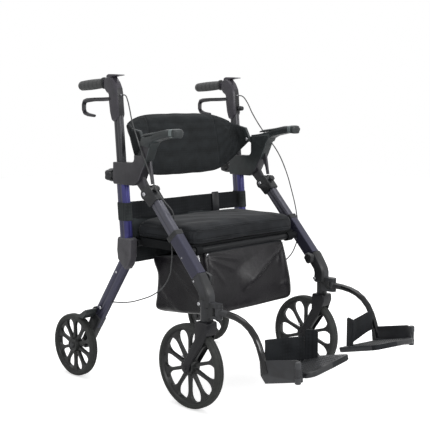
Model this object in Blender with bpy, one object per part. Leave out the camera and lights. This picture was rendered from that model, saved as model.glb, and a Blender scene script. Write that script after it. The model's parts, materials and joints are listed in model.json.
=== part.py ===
"""Rollator with seat, padded back band, folding front frame and swing-away footrests.

Metres, +Z up, the user walks behind at +Y and the seated person faces -Y.
The origin lies on the floor under the middle of the whole object.
"""
import math

import bpy
import bmesh
from mathutils import Vector

# Overall places, measured from the rear axle and the floor
TOE_REACH = 0.9266          # rear axle to the front edge of the footplates
REAR_WHEEL_R = 0.1016
FRONT_WHEEL_R = 0.1252
AXLE_Y = (TOE_REACH - REAR_WHEEL_R) / 2.0
GAP = 0.0003                # clearance between pieces that touch
FIT = 0.0006                # clearance of pieces that slide or turn in each other

# Side frames
FRAME_X = 0.257             # lateral place of the side frames
TUBE_W = 0.026              # width of the frame extrusion, across the object
TUBE_D = 0.039              # depth of the upright's extrusion, in the side plane
LEG_D = 0.035               # depth of the front leg's extrusion
TUBE_R = 0.008              # corner radius of the extrusion
GROOVE = 0.0016             # depth of the long groove in each extrusion face
INNER_W = 0.021
INNER_D = 0.029
INNER_R = 0.006
UPRIGHT_FOOT = (-0.211, 0.425)      # y and z of the lower end of the upright's axis
UPRIGHT_TOP = (-0.1885, 0.698)      # y and z of the upper end of the outer tube
INNER_LOW = 0.560                   # z of the lower end of the telescoping tube
HEAD_Z = 0.828                      # z of the underside of the handle head
HANDLE_DOWN = 0.100                 # travel of the handles below the photographed height
KNEE_W = 0.036
REAR_LEG_TOP = (-0.196, 0.383)
REAR_LEG_W = 0.022
REAR_LEG_D = 0.032

# Wheels
REAR_WHEEL_X = 0.3035
REAR_WHEEL_W = 0.0275
FRONT_WHEEL_X = 0.264
FRONT_WHEEL_W = 0.0304
FRONT_AXLE_Y = -0.496
TYRE_DEPTH = 0.013
SPOKES = 10
WHEEL_SIDES = 3 * SPOKES
AXLE_R = 0.0055

# Folding front frame
FOLD_PIVOT = (-0.311, 0.6105)
LEG_TOP = (-0.317, 0.620)   # where the leg's axis passes the joint
LEG_START = 0.019           # from there to the upper end of the extrusion
LEG_END = (-0.533, 0.383)
TONGUE_R = 0.0125
TONGUE_W = 0.012
CHEEK_R = 0.0185
RAIL_R = 0.011
SEAT_HINGE = (-0.4635, 0.4515)
STEM_Y = -0.560
STEM_R = 0.0165
STEM_LOW = 0.268
STEM_SHOULDER = 0.309       # where the elbow becomes the round stem housing
STEM_HIGH = 0.335

# Seat, back and bag
SEAT_SIDE_GAP = 0.014       # between the seat and the front legs
SEAT_HALF_W = FRAME_X - TUBE_W / 2 - SEAT_SIDE_GAP
SEAT_REAR = -0.212
SEAT_FRONT = -0.474
BOARD_T = 0.006
CUSHION_T = 0.050
BACK_PIVOT = (-0.262, 0.757)
BAG_WALL = 0.003

# Footrests
ARM_X = 0.260
ARM_R = 0.0095
SWING_Y = -0.606
PLATE_T = 0.015
PLATE_PITCH = math.radians(14.0)
PLATE_ROLL = math.radians(4.0)
PLATE_OUTER_X = 0.2445
PLATE_INNER_X = 0.058

# Knee, rear leg and axle bracket
KNEE_TOP = 0.470
REAR_LEG_SOCKET = 0.028
REAR_LEG_R = 0.007
AXLE_DROP = 0.0805          # from the end of the rear leg's extrusion to the axle
REAR_LEG_LENGTH = math.dist(REAR_LEG_TOP, (0.0, REAR_WHEEL_R)) - AXLE_DROP
BRACKET_W = 0.028
BRACKET_GRIP = 0.045
REAR_HUB_W = 0.030
REAR_HUB_R = 0.024
FRONT_HUB_W = 0.034
FRONT_HUB_R = 0.026
WEB_T = 0.014
RIM_SHARE = 0.115
SPOKE_W = 0.0085
SHOE_PIVOT = (-0.057, 0.221)
SHOE_X = 0.2725
SHOE_ARM_T = 0.007
SHOE_GAP = 0.004

# Side housing, armrest and height knob
HOUSING_IN = 0.2405
HOUSING_OUT = 0.2755
ARM_REST_IN = 0.2420
ARM_REST_OUT = 0.2805
PAD_T = 0.0075
KNOB_Y = -0.1625
KNOB_Z = 0.658
KNOB_SHANK_R = 0.005
BACK_PIN_R = 0.004
BACK_PIN_END = 0.2235

# Handle head, grip and brake lever
HEAD_W = 0.031
HEAD_CAP_W = 0.026
HEAD_BORE_TOP = 0.872
GRIP_START = (-0.1145, 0.9393)
GRIP_END = (0.012, 0.931)
GRIP_R = 0.0155
GRIP_CORE_R = 0.010
GRIP_STUB = 0.060
LEVER_ROOT = (-0.1520, 0.891)
LEVER_EYE_R = 0.0068
LEVER_W = 0.011

# Strap and rear rail
REAR_RAIL = (-0.2320, 0.4515)
STRAP_LOW = 0.521
STRAP_HIGH = 0.577
STRAP_T = 0.002
PANEL_LOW = 0.387
PANEL_END_X = 0.140
BAND_SECTION = (
    (-1.0, 0.30), (-0.93, 0.06), (-0.60, 0.0), (0.0, 0.0), (0.60, 0.0), (0.93, 0.06), (1.0, 0.30),
    (1.0, 0.62), (0.93, 0.88), (0.55, 1.0), (0.0, 1.04), (-0.55, 1.0), (-0.93, 0.88), (-1.0, 0.62),
)

# Front leg joint, elbow and caster
LEG_LENGTH = 0.326          # along the leg, to the lower end of the extrusion
CLEVIS_W = 0.032
JOINT_W = 0.034
JOINT_GRIP = 0.046
ELBOW_X = 0.2605
ELBOW_W = 0.035
ELBOW_GRIP = 0.020
CLAMP_KNOB_BACK = 0.0065    # along the leg, short of the end of the extrusion
FORK_ARM_T = 0.0055
STEM_PIN_R = 0.008

# Footrest hinge, arm, guard, footplate and heel strap
ARM_TOP_Z = 0.3015
ARM_END = (-0.782, 0.163)
HINGE_R = 0.0115
HINGE_PIN_R = 0.004
HINGE_EYE_H = 0.022
HINGE_LOW = 0.281
HINGE_HIGH = 0.3245
PLATE_REAR = (-0.776, 0.1565)
PLATE_LENGTH = 0.152
GUARD_X = 0.2555
GUARD_T = 0.006
GUARD_LENGTH = 0.130
GUARD_H = 0.040
PLATE_AXIS_X = 0.2465       # lateral place of the footplate's hinge pin
PLATE_PIN_R = 0.0026
BARREL_R = 0.005
PLATE_LUGS = ((0.006, 0.016), (0.114, 0.124))   # along the plate's outer edge
POST_X = 0.0905
POST_Y = -0.800
POST_W = 0.037
POST_T = 0.005
POST_TOP = 0.2555
HEEL_STRAP_OUT = (-0.7680, 0.213, 0.262)    # y, lower z and upper z at the arm
HEEL_STRAP_IN = (-0.7860, 0.190, 0.246)     # the same at the post
HEEL_STRAP_IN_X = 0.1028

# Brake cables
CABLE_R = 0.0022
CABLE_STEP = 6.0 * CABLE_R
CABLE_LEFT = (
    (0.2615, -0.1885, 0.903), (0.265, -0.205, 0.9005), (0.268, -0.2200, 0.886), (0.277, -0.243, 0.840),
    (0.2835, -0.276, 0.793), (0.2850, -0.310, 0.757), (0.2850, -0.350, 0.714), (0.281, -0.389, 0.655),
    (0.2755, -0.418, 0.595), (0.2738, -0.440, 0.530), (0.2738, -0.449, 0.478), (0.2738, -0.4495, 0.440),
    (0.268, -0.4465, 0.415), (0.262, -0.437, 0.388), (0.258, -0.415, 0.362), (0.257, -0.345, 0.318),
    (0.257, -0.267, 0.283), (0.257, -0.200, 0.264), (0.257, -0.1295, 0.2545),
)
CABLE_RIGHT = (
    (-0.2530, -0.1885, 0.902), (-0.2520, -0.2040, 0.9010), (-0.2505, -0.2125, 0.886), (-0.2520, -0.2218, 0.8646),
    (-0.2570, -0.2398, 0.8238), (-0.2635, -0.2670, 0.780), (-0.2785, -0.2995, 0.750), (-0.2795, -0.3213, 0.7128),
    (-0.2800, -0.3450, 0.6705), (-0.2765, -0.3600, 0.640), (-0.2720, -0.3770, 0.612), (-0.2600, -0.3930, 0.588),
    (-0.2450, -0.4030, 0.563), (-0.2380, -0.4000, 0.535), (-0.2400, -0.392, 0.500), (-0.247, -0.402, 0.440),
    (-0.254, -0.403, 0.385), (-0.257, -0.385, 0.350), (-0.257, -0.341, 0.315), (-0.257, -0.267, 0.283),
    (-0.257, -0.200, 0.264), (-0.257, -0.1295, 0.2545),
)

COLOURS = {
    "frame_paint": ("3F3E50", 0.38, 0.6),
    "black_plastic": ("3A3B3D", 0.5, 0.0),
    "grip_rubber": ("333436", 0.75, 0.0),
    "armrest_plastic": ("464B4B", 0.5, 0.0),
    "tyre": ("343536", 0.8, 0.0),
    "wheel_plastic": ("3A3B3A", 0.5, 0.0),
    "fabric": ("2F3032", 0.85, 0.0),
    "bag_nylon": ("2D2C31", 0.4, 0.0),
    "black_steel": ("3B3C3E", 0.45, 0.4),
    "cable_sheath": ("4A4C4E", 0.5, 0.0),
}


def start_empty():
    for item in list(bpy.data.objects):
        bpy.data.objects.remove(item, do_unlink=True)


def linear(value):
    return value / 12.92 if value <= 0.04045 else ((value + 0.055) / 1.055) ** 2.4


def material(name):
    found = bpy.data.materials.get(name)
    if found:
        return found
    code, roughness, metallic = COLOURS[name]
    rgb = [linear(int(code[i:i + 2], 16) / 255.0) for i in (0, 2, 4)]
    made = bpy.data.materials.new(name)
    made.use_nodes = True
    shader = made.node_tree.nodes["Principled BSDF"]
    shader.inputs["Base Color"].default_value = (*rgb, 1.0)
    shader.inputs["Roughness"].default_value = roughness
    shader.inputs["Metallic"].default_value = metallic
    return made


def at(x, y, z):
    """A point given from the mid-plane, the rear axle and the floor."""
    return Vector((x, y + AXLE_Y, z))


PIVOTS = {}


def pivot(name, place, parent=None):
    """An empty on a joint's axis, which carries the pieces that turn about it."""
    empty = bpy.data.objects.new(name, None)
    bpy.context.collection.objects.link(empty)
    PIVOTS[name] = place.copy()
    empty.location = place
    if parent:
        empty.parent = bpy.data.objects[parent]
        empty.location = place - PIVOTS[parent]
    return name


def finish(name, mesh_data, finish_name, carrier=None, smooth=35.0):
    """Turn a bmesh into an object whose origin lies on its carrier's axis."""
    bmesh.ops.remove_doubles(mesh_data, verts=mesh_data.verts, dist=1e-6)
    bmesh.ops.recalc_face_normals(mesh_data, faces=mesh_data.faces)
    origin = PIVOTS[carrier] if carrier else Vector((0.0, 0.0, 0.0))
    bmesh.ops.translate(mesh_data, verts=mesh_data.verts, vec=-origin)
    mesh = bpy.data.meshes.new(name)
    mesh_data.to_mesh(mesh)
    mesh_data.free()
    mesh.materials.append(material(finish_name))
    mesh.shade_smooth()
    mesh.set_sharp_from_angle(angle=math.radians(smooth))
    made = bpy.data.objects.new(name, mesh)
    bpy.context.collection.objects.link(made)
    if carrier:
        made.parent = bpy.data.objects[carrier]
    return made


def boolean(target, tool, operation="DIFFERENCE"):
    """Cut or join with a hidden tool object that follows the target's carrier."""
    tool.hide_render = True
    tool.display_type = "WIRE"
    change = target.modifiers.new(operation.lower(), "BOOLEAN")
    change.operation = operation
    change.solver = "EXACT"
    change.object = tool
    return change


# Sections and solids

def rounded_rect(width, depth, radius, steps=2):
    """Corner arcs of a rounded rectangle, counter-clockwise."""
    points = []
    for corner, (sx, sy) in enumerate(((1, 1), (-1, 1), (-1, -1), (1, -1))):
        centre = (sx * (width / 2 - radius), sy * (depth / 2 - radius))
        for step in range(steps + 1):
            turn = math.radians(90.0 * corner + 90.0 * step / steps)
            points.append((centre[0] + radius * math.cos(turn), centre[1] + radius * math.sin(turn)))
    return points


def grooved_rect(width, depth, radius, groove, steps=2):
    """A rounded rectangle whose four faces each carry a shallow V groove."""
    corners = rounded_rect(width, depth, radius, steps)
    count = steps + 1
    points = []
    half = 0.0035
    grooves = (
        ((half, depth / 2), (0.0, depth / 2 - groove), (-half, depth / 2)),
        ((-width / 2, half), (-width / 2 + groove, 0.0), (-width / 2, -half)),
        ((-half, -depth / 2), (0.0, -depth / 2 + groove), (half, -depth / 2)),
        ((width / 2, -half), (width / 2 - groove, 0.0), (width / 2, half)),
    )
    for corner in range(4):
        points += corners[corner * count:(corner + 1) * count]
        points += grooves[corner]
    return points


def circle(radius, sides):
    return [
        (radius * math.cos(2 * math.pi * i / sides), radius * math.sin(2 * math.pi * i / sides))
        for i in range(sides)
    ]


def skin(mesh_data, rings, closed=False):
    """Bridge rings of points into a solid, with a cap on each end unless it is closed."""
    rows = [[mesh_data.verts.new(point) for point in ring] for ring in rings]
    count = len(rows[0])
    pairs = list(zip(rows, rows[1:] + rows[:1])) if closed else list(zip(rows, rows[1:]))
    for low, high in pairs:
        for i in range(count):
            mesh_data.faces.new((low[i], low[(i + 1) % count], high[(i + 1) % count], high[i]))
    if not closed:
        mesh_data.faces.new(rows[0])
        mesh_data.faces.new(rows[-1])
    return mesh_data


def sweep(path, section, mesh_data=None):
    """Run a section along points of a plane across X; section x lies along X."""
    mesh_data = mesh_data or bmesh.new()
    rings = []
    for i, point in enumerate(path):
        before = path[max(i - 1, 0)]
        after = path[min(i + 1, len(path) - 1)]
        tangent = (after - before).normalized()
        across = Vector((1.0, 0.0, 0.0))
        across = (across - tangent * across.dot(tangent)).normalized()
        normal = tangent.cross(across)
        miter = 1.0
        if 0 < i < len(path) - 1:
            leg = (path[i] - path[i - 1]).normalized()
            miter = 1.0 / max(leg.dot(tangent), 0.5)
        rings.append([point + across * u + normal * v * miter for u, v in section])
    return skin(mesh_data, rings)


def arc_points(centre, radius, start, end, steps):
    """Points of an arc as (a, b) pairs; angles in degrees."""
    points = []
    for step in range(steps + 1):
        turn = math.radians(start + (end - start) * step / steps)
        points.append((centre[0] + radius * math.cos(turn), centre[1] + radius * math.sin(turn)))
    return points


def prism(outline, x_low, x_high, mesh_data=None):
    """Extrude a (y, z) outline across X."""
    mesh_data = mesh_data or bmesh.new()
    rings = [[at(x, y, z) for y, z in outline] for x in (x_low, x_high)]
    return skin(mesh_data, rings)


def bar(start, end, radius, sides=12, mesh_data=None, end_radius=None):
    """A round bar or cone between two points."""
    mesh_data = mesh_data or bmesh.new()
    line = (end - start).normalized()
    side = line.orthogonal().normalized()
    other = line.cross(side)
    last = radius if end_radius is None else end_radius
    rings = []
    for point, size in ((start, radius), (end, last)):
        rings.append([point + side * u * size + other * v * size for u, v in circle(1.0, sides)])
    return skin(mesh_data, rings)


def turned(profile, start, axis, sides=24, mesh_data=None, lobes=0, depth=0.0):
    """Revolve (distance along the axis, radius) pairs that form a closed or capped profile."""
    mesh_data = mesh_data or bmesh.new()
    line = axis.normalized()
    side = line.orthogonal().normalized()
    if abs(line.x) > 0.9:
        side = Vector((0.0, 1.0, 0.0))
    other = line.cross(side)
    rings = []
    for along, radius in profile:
        ring = []
        for i in range(sides):
            turn = 2 * math.pi * i / sides
            size = radius
            if lobes and radius > depth * 4:
                size -= depth * (0.5 - 0.5 * math.cos(lobes * turn))
            ring.append(start + line * along + side * size * math.cos(turn) + other * size * math.sin(turn))
        rings.append(ring)
    return skin(mesh_data, rings)


def ring_solid(profile, start, axis, sides=32, mesh_data=None):
    """Revolve a closed (distance, radius) profile into a ring."""
    mesh_data = mesh_data or bmesh.new()
    line = axis.normalized()
    side = Vector((0.0, 0.0, -1.0)) if abs(line.x) > 0.9 else line.orthogonal().normalized()
    other = line.cross(side)
    rings = []
    for i in range(sides):
        turn = 2 * math.pi * i / sides
        out = side * math.cos(turn) + other * math.sin(turn)
        rings.append([start + line * along + out * radius for along, radius in profile])
    return skin(mesh_data, rings, closed=True)


def box(low, high, mesh_data=None):
    mesh_data = mesh_data or bmesh.new()
    corners = [(low.x, low.y), (high.x, low.y), (high.x, high.y), (low.x, high.y)]
    rings = [[Vector((x, y, z)) for x, y in corners] for z in (low.z, high.z)]
    return skin(mesh_data, rings)


def cutter(name, mesh_data, carrier=None):
    """A hidden tool for a Boolean."""
    tool = finish(name, mesh_data, "black_plastic", carrier)
    tool.hide_render = True
    tool.display_type = "WIRE"
    return tool


def bevelled(target, width, segments=1, angle=40.0):
    change = target.modifiers.new("edges", "BEVEL")
    change.width = width
    change.segments = segments
    change.limit_method = "ANGLE"
    change.angle_limit = math.radians(angle)
    change.use_clamp_overlap = True
    return change


def along(start, end, distance):
    """The (y, z) point at a distance from start towards end."""
    length = math.hypot(end[0] - start[0], end[1] - start[1])
    share = distance / length
    return (start[0] + (end[0] - start[0]) * share, start[1] + (end[1] - start[1]) * share)


def side_name(side):
    return "left" if side > 0 else "right"


# Directions that several pieces share
UP_LINE = Vector((0.0, UPRIGHT_TOP[0] - UPRIGHT_FOOT[0], UPRIGHT_TOP[1] - UPRIGHT_FOOT[1])).normalized()
LEG_LINE = Vector((0.0, LEG_END[0] - LEG_TOP[0], LEG_END[1] - LEG_TOP[1])).normalized()


def upright_at(z):
    """The y of the upright's axis at a height."""
    return UPRIGHT_FOOT[0] + (z - UPRIGHT_FOOT[1]) * UP_LINE.y / UP_LINE.z


def leg_at(distance, across=0.0):
    """A (y, z) point on the front leg, from its top end and out from its axis."""
    return (
        LEG_TOP[0] + LEG_LINE.y * distance + LEG_LINE.z * across,
        LEG_TOP[1] + LEG_LINE.z * distance - LEG_LINE.y * across,
    )


def upright_tube(side):
    """Outer extrusion of the upright, bored for the telescoping tube."""
    name = side_name(side)
    x = side * FRAME_X
    path = [at(x, upright_at(z), z) for z in (UPRIGHT_FOOT[1], UPRIGHT_TOP[1])]
    tube = finish("upright_tube_" + name, sweep(path, grooved_rect(TUBE_W, TUBE_D, TUBE_R, GROOVE)), "frame_paint")
    low = INNER_LOW - HANDLE_DOWN - 0.010
    path = [at(x, upright_at(z), z) for z in (low, UPRIGHT_TOP[1] + 0.02)]
    section = rounded_rect(INNER_W + 2 * FIT, INNER_D + 2 * FIT, INNER_R + FIT)
    boolean(tube, cutter("upright_bore_" + name, sweep(path, section)))
    return tube


def knee_sleeve(side):
    """Moulded sleeve that joins the upright, the rear leg and the rear rail."""
    name = side_name(side)
    x = side * FRAME_X
    bottom_rear = (REAR_LEG_TOP[0] + 0.024, REAR_LEG_TOP[1] + 0.0165)
    bottom_front = (REAR_LEG_TOP[0] - 0.0205, REAR_LEG_TOP[1] - 0.0145)
    outline = [
        (-0.2525, KNEE_TOP), (-0.1715, KNEE_TOP), (-0.167, 0.430), bottom_rear, bottom_front,
        (-0.236, 0.386), (-0.248, 0.410),
    ]
    sleeve = finish(
        "knee_sleeve_" + name,
        prism(outline, x - KNEE_W / 2, x + KNEE_W / 2),
        "black_plastic",
    )
    bevelled(sleeve, 0.005)
    path = [at(x, upright_at(z), z) for z in (UPRIGHT_FOOT[1] - GAP, KNEE_TOP + 0.02)]
    section = rounded_rect(TUBE_W + 2 * GAP, TUBE_D + 2 * GAP, TUBE_R)
    boolean(sleeve, cutter("knee_bore_" + name, sweep(path, section)))
    path = [at(x, *rear_leg_at(-REAR_LEG_SOCKET - GAP)), at(x, *rear_leg_at(0.05))]
    section = rounded_rect(REAR_LEG_W + 2 * GAP, REAR_LEG_D + 2 * GAP, REAR_LEG_R)
    boolean(sleeve, cutter("knee_leg_bore_" + name, sweep(path, section)))
    return sleeve


def rear_leg_at(distance, across=0.0):
    """A (y, z) point on the rear leg, from where it leaves the knee towards the axle."""
    line = Vector((-REAR_LEG_TOP[0], REAR_WHEEL_R - REAR_LEG_TOP[1])).normalized()
    return (
        REAR_LEG_TOP[0] + line.x * distance + line.y * across,
        REAR_LEG_TOP[1] + line.y * distance - line.x * across,
    )


def rear_leg(side):
    """Extrusion from the knee down to the axle bracket."""
    name = side_name(side)
    x = side * FRAME_X
    path = [at(x, *rear_leg_at(-REAR_LEG_SOCKET)), at(x, *rear_leg_at(REAR_LEG_LENGTH))]
    section = grooved_rect(REAR_LEG_W, REAR_LEG_D, REAR_LEG_R, GROOVE)
    return finish("rear_leg_" + name, sweep(path, section), "frame_paint")


def axle_bracket(side):
    """Moulded end of the rear leg, with the ear of the brake shoe and the wheel's axle."""
    name = side_name(side)
    x = side * FRAME_X
    half = BRACKET_W / 2
    top = REAR_LEG_LENGTH - BRACKET_GRIP
    reach = REAR_LEG_D / 2 + 0.004
    outline = [rear_leg_at(top, -reach), rear_leg_at(top, reach)]
    outline += [rear_leg_at(REAR_LEG_LENGTH + 0.012, 0.019)]
    outline += arc_points((0.0, REAR_WHEEL_R), 0.0185, 215, 360 + 60, 6)
    outline += [rear_leg_at(REAR_LEG_LENGTH + 0.030, -0.019)]
    outline += arc_points(SHOE_PIVOT, 0.010, -20, 120, 3)
    bracket = finish("axle_bracket_" + name, prism(outline, x - half, x + half), "black_plastic")
    bevelled(bracket, 0.003)
    path = [at(x, *rear_leg_at(top - 0.02)), at(x, *rear_leg_at(REAR_LEG_LENGTH + GAP))]
    section = rounded_rect(REAR_LEG_W + 2 * GAP, REAR_LEG_D + 2 * GAP, REAR_LEG_R)
    boolean(bracket, cutter("bracket_bore_" + name, sweep(path, section)))
    inner = x - side * (half + 0.004)
    outer = side * (REAR_WHEEL_X + REAR_HUB_W / 2 + 0.001)
    pin = turned(
        (
            (0.0, 0.0075), (0.0045, 0.0075), (0.0045, AXLE_R), (abs(outer - inner) + 0.0005, AXLE_R),
            (abs(outer - inner) + 0.0005, 0.0085), (abs(outer - inner) + 0.003, 0.0070),
        ),
        at(inner, 0.0, REAR_WHEEL_R), Vector((side, 0.0, 0.0)), 10,
    )
    boss = turned(
        ((0.0, 0.0125), (REAR_WHEEL_X - REAR_HUB_W / 2 - FRAME_X - 0.0006, 0.0105)),
        at(x, 0.0, REAR_WHEEL_R), Vector((side, 0.0, 0.0)), 12,
    )
    shoe_pin = bar(
        at(x, *SHOE_PIVOT), at(side * (SHOE_X + SHOE_ARM_T + 0.003), *SHOE_PIVOT), 0.004, 8,
    )
    for tool_name, mesh_data in (("axle_pin_", pin), ("axle_boss_", boss), ("shoe_pin_", shoe_pin)):
        boolean(bracket, cutter(tool_name + name, mesh_data), "UNION")
    return bracket


def brake_shoe(side):
    """Pivoted arm beside the rear tyre whose shoe presses on the tread."""
    name = side_name(side)
    carrier = pivot("brake_arm_axis_" + name, at(side * FRAME_X, *SHOE_PIVOT))
    inner = side * SHOE_X
    outer = side * (SHOE_X + SHOE_ARM_T)
    outline = arc_points(SHOE_PIVOT, 0.011, 100, 250, 4)
    tread = REAR_WHEEL_R + SHOE_GAP
    for angle in (97, 88, 80, 74):
        turn = math.radians(angle)
        outline.append((tread * math.cos(turn), REAR_WHEEL_R + tread * math.sin(turn)))
    for angle in (74, 80, 90, 100):
        turn = math.radians(angle)
        outline.append(((tread + 0.011) * math.cos(turn), REAR_WHEEL_R + (tread + 0.011) * math.sin(turn)))
    arm = finish("brake_shoe_" + name, prism(outline, min(inner, outer), max(inner, outer)), "black_plastic", carrier)
    pad_outline = []
    for angle in (74, 80, 86, 92):
        turn = math.radians(angle)
        pad_outline.append((tread * math.cos(turn), REAR_WHEEL_R + tread * math.sin(turn)))
    for angle in (92, 86, 80, 74):
        turn = math.radians(angle)
        pad_outline.append(((tread + 0.009) * math.cos(turn), REAR_WHEEL_R + (tread + 0.009) * math.sin(turn)))
    far = side * (REAR_WHEEL_X + REAR_WHEEL_W / 2 - 0.001)
    pad = prism(pad_outline, min(inner, far), max(inner, far))
    boolean(arm, cutter("shoe_pad_" + name, pad, carrier), "UNION")
    hole = bar(
        at(inner - side * 0.01, *SHOE_PIVOT), at(outer + side * 0.01, *SHOE_PIVOT), 0.004 + FIT, 8,
    )
    boolean(arm, cutter("shoe_hole_" + name, hole, carrier))
    return arm


def teardrop(inner_r, outer_r, width, narrow):
    """Outline of one wheel window in (radial, sideways) pairs, wide and round at the rim."""
    tip = narrow / 2
    bulge = width / 2
    centre = outer_r - bulge * 0.8
    points = [(inner_r, -tip), (centre, -bulge), (outer_r, -bulge * 0.5)]
    points += [(outer_r, bulge * 0.5), (centre, bulge), (inner_r, tip)]
    return points


def wheel(name, side, x, axle, radius, width, hub_w, hub_r, carrier, sides):
    """A spoked plastic wheel and the solid tyre that is stretched on it."""
    centre = at(x, *axle)
    line = Vector((1.0, 0.0, 0.0))
    half = width / 2
    seat = radius - TYRE_DEPTH
    tyre_profile = (
        (-half * 0.90, seat), (-half, radius - 0.006), (-half * 0.52, radius),
        (half * 0.52, radius), (half, radius - 0.006), (half * 0.90, seat),
    )
    tyre = finish(
        name + "_tyre_" + side_name(side),
        ring_solid(tyre_profile, centre, line, sides), "tyre", carrier,
    )
    rim_r = seat - GAP - 0.0004
    flange = half * 0.80
    rim_depth = RIM_SHARE * radius
    web = WEB_T / 2
    bore = AXLE_R + FIT
    rim_profile = (
        (-hub_w / 2, bore), (-hub_w / 2, hub_r), (-web, hub_r + 0.004), (-web, rim_r - rim_depth),
        (-flange, rim_r - rim_depth + 0.003), (-flange, rim_r), (flange, rim_r),
        (flange, rim_r - rim_depth + 0.003), (web, rim_r - rim_depth), (web, hub_r + 0.004),
        (hub_w / 2, hub_r), (hub_w / 2, bore),
    )
    rim = finish(
        name + "_rim_" + side_name(side),
        ring_solid(rim_profile, centre, line, sides), "wheel_plastic", carrier,
    )
    inner_r = hub_r + 0.006
    outer_r = rim_r - rim_depth - 0.001
    pitch = 2 * math.pi / SPOKES
    spoke = SPOKE_W
    width_out = pitch * (outer_r - 0.008) - spoke
    narrow = max(pitch * inner_r - spoke, 0.002)
    windows = bmesh.new()
    for i in range(SPOKES):
        turn = pitch * i
        out = Vector((0.0, math.cos(turn), math.sin(turn)))
        across = Vector((0.0, -math.sin(turn), math.cos(turn)))
        start = inner_r if i % 2 else inner_r + 0.006
        outline = teardrop(start, outer_r, width_out, narrow)
        rings = [
            [centre + Vector((dx, 0.0, 0.0)) + out * r + across * s for r, s in outline]
            for dx in (-width, width)
        ]
        skin(windows, rings)
    boolean(rim, cutter(name + "_windows_" + side_name(side), windows, carrier))
    return tyre, rim


def side_housing(side):
    """Moulding round the head of the upright, with the panel that rises into the armrest."""
    name = side_name(side)
    low = side * HOUSING_IN
    high = side * HOUSING_OUT
    outline = [(-0.1680, 0.7000), (-0.1660, 0.640), (-0.170, 0.633), (-0.262, 0.6325), (-0.285, 0.6475)]
    outline += [(-0.300, 0.675), (-0.312, 0.6935), (-0.3270, 0.7250), (-0.3360, 0.7465), (-0.346, 0.7600)]
    outline += [(-0.346, 0.7740)]
    outline += arc_points(BACK_PIVOT, 0.0085, 85, -70, 6)
    outline += [(-0.2665, 0.7440)]
    outline += arc_points((-0.2535, 0.7145), 0.0130, 185, 270, 3)
    outline += [(-0.222, 0.7005)]
    housing = finish("side_housing_" + name, prism(outline, min(low, high), max(low, high)), "armrest_plastic")
    bevelled(housing, 0.0045, 1, 25.0)
    arm_outline = [(-0.268, 0.7720), (-0.270, 0.7580), (-0.300, 0.7560), (-0.3380, 0.7500), (-0.3450, 0.7615)]
    arm_outline += [(-0.3625, 0.7700), (-0.398, 0.7770), (-0.4370, 0.7835), (-0.4475, 0.7880), (-0.4490, 0.7960)]
    arm_outline += [(-0.4430, 0.7992), (-0.407, 0.7955), (-0.364, 0.7875), (-0.302, 0.7795)]
    low = side * ARM_REST_IN
    high = side * ARM_REST_OUT
    arm_rest = cutter("arm_rest_" + name, prism(arm_outline, min(low, high), max(low, high)))
    boolean(housing, arm_rest, "UNION")
    boolean(housing, cutter("panel_corner_" + name, panel_corner(side)))
    tongue_outline = arc_points(FOLD_PIVOT, TONGUE_R, 135, 315, 7)
    tongue_outline += [(-0.262, 0.638), (-0.262, 0.662), (-0.290, 0.662)]
    mid = side * FRAME_X
    tongue = prism(tongue_outline, mid - TONGUE_W / 2, mid + TONGUE_W / 2)
    strut_outline = [
        (-0.308, 0.696), (-0.323, 0.708), (-0.3300, 0.668), (-0.3345, 0.6415), (-0.3275, 0.6405), (-0.3225, 0.664),
    ]
    strut = prism(strut_outline, mid - 0.004, mid + 0.004)
    fold_pin = bar(
        at(mid - CLEVIS_W / 2 - 0.0015, *FOLD_PIVOT), at(mid + CLEVIS_W / 2 + 0.0015, *FOLD_PIVOT), 0.005, 10,
    )
    back_pin = bar(
        at(side * (HOUSING_IN + 0.0055), *BACK_PIVOT), at(side * BACK_PIN_END, *BACK_PIVOT), BACK_PIN_R, 10,
    )
    for tool_name, mesh_data in (
        ("tongue_", tongue), ("strut_", strut), ("fold_pin_", fold_pin), ("back_pin_", back_pin),
    ):
        boolean(housing, cutter(tool_name + name, mesh_data), "UNION")
    path = [at(mid, upright_at(z), z) for z in (0.60, UPRIGHT_TOP[1] + GAP)]
    section = rounded_rect(TUBE_W + 2 * GAP, TUBE_D + 2 * GAP, TUBE_R)
    boolean(housing, cutter("housing_bore_" + name, sweep(path, section)))
    path = [at(mid, upright_at(z), z) for z in (0.66, 0.74)]
    section = rounded_rect(INNER_W + 4 * FIT, INNER_D + 4 * FIT, INNER_R + FIT)
    boolean(housing, cutter("housing_mouth_" + name, sweep(path, section)))
    boolean(housing, cutter("knob_hole_" + name, knob_shank(side, KNOB_SHANK_R + FIT, 0.006)))
    return housing


def panel_corner(side):
    """The wedge that the panel under the armrest lacks behind, on its outer side."""
    plan = ((0.2445, -0.225), (0.2445, -0.265), (0.2830, -0.308), (0.2990, -0.308), (0.2990, -0.225))
    rings = [[at(side * x, y, z) for x, y in plan] for z in (0.7240, 0.8000)]
    return skin(bmesh.new(), rings)


def knob_shank(side, radius, extra=0.0):
    """The height knob's threaded shank, from the knob to just short of the upright."""
    x = side * FRAME_X
    end = upright_at(KNOB_Z) + TUBE_D / 2 + 0.0025 - extra * 0.5
    return bar(at(x, KNOB_Y + extra, KNOB_Z), at(x, end, KNOB_Z), radius, 10)


def height_knob(side):
    """Lobed knob behind the housing that clamps the telescoping tube."""
    name = side_name(side)
    x = side * FRAME_X
    carrier = pivot("height_knob_axis_" + name, at(x, KNOB_Y, KNOB_Z))
    profile = (
        (-0.0005, 0.009), (0.004, 0.0185), (0.013, 0.0195), (0.0185, 0.015),
    )
    knob = finish(
        "height_knob_" + name,
        turned(profile, at(x, KNOB_Y + 0.0005, KNOB_Z), Vector((0.0, 1.0, 0.0)), 20, lobes=5, depth=0.003),
        "black_plastic", carrier,
    )
    boolean(knob, cutter("height_knob_shank_" + name, knob_shank(side, KNOB_SHANK_R, 0.002), carrier), "UNION")
    return knob


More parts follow.
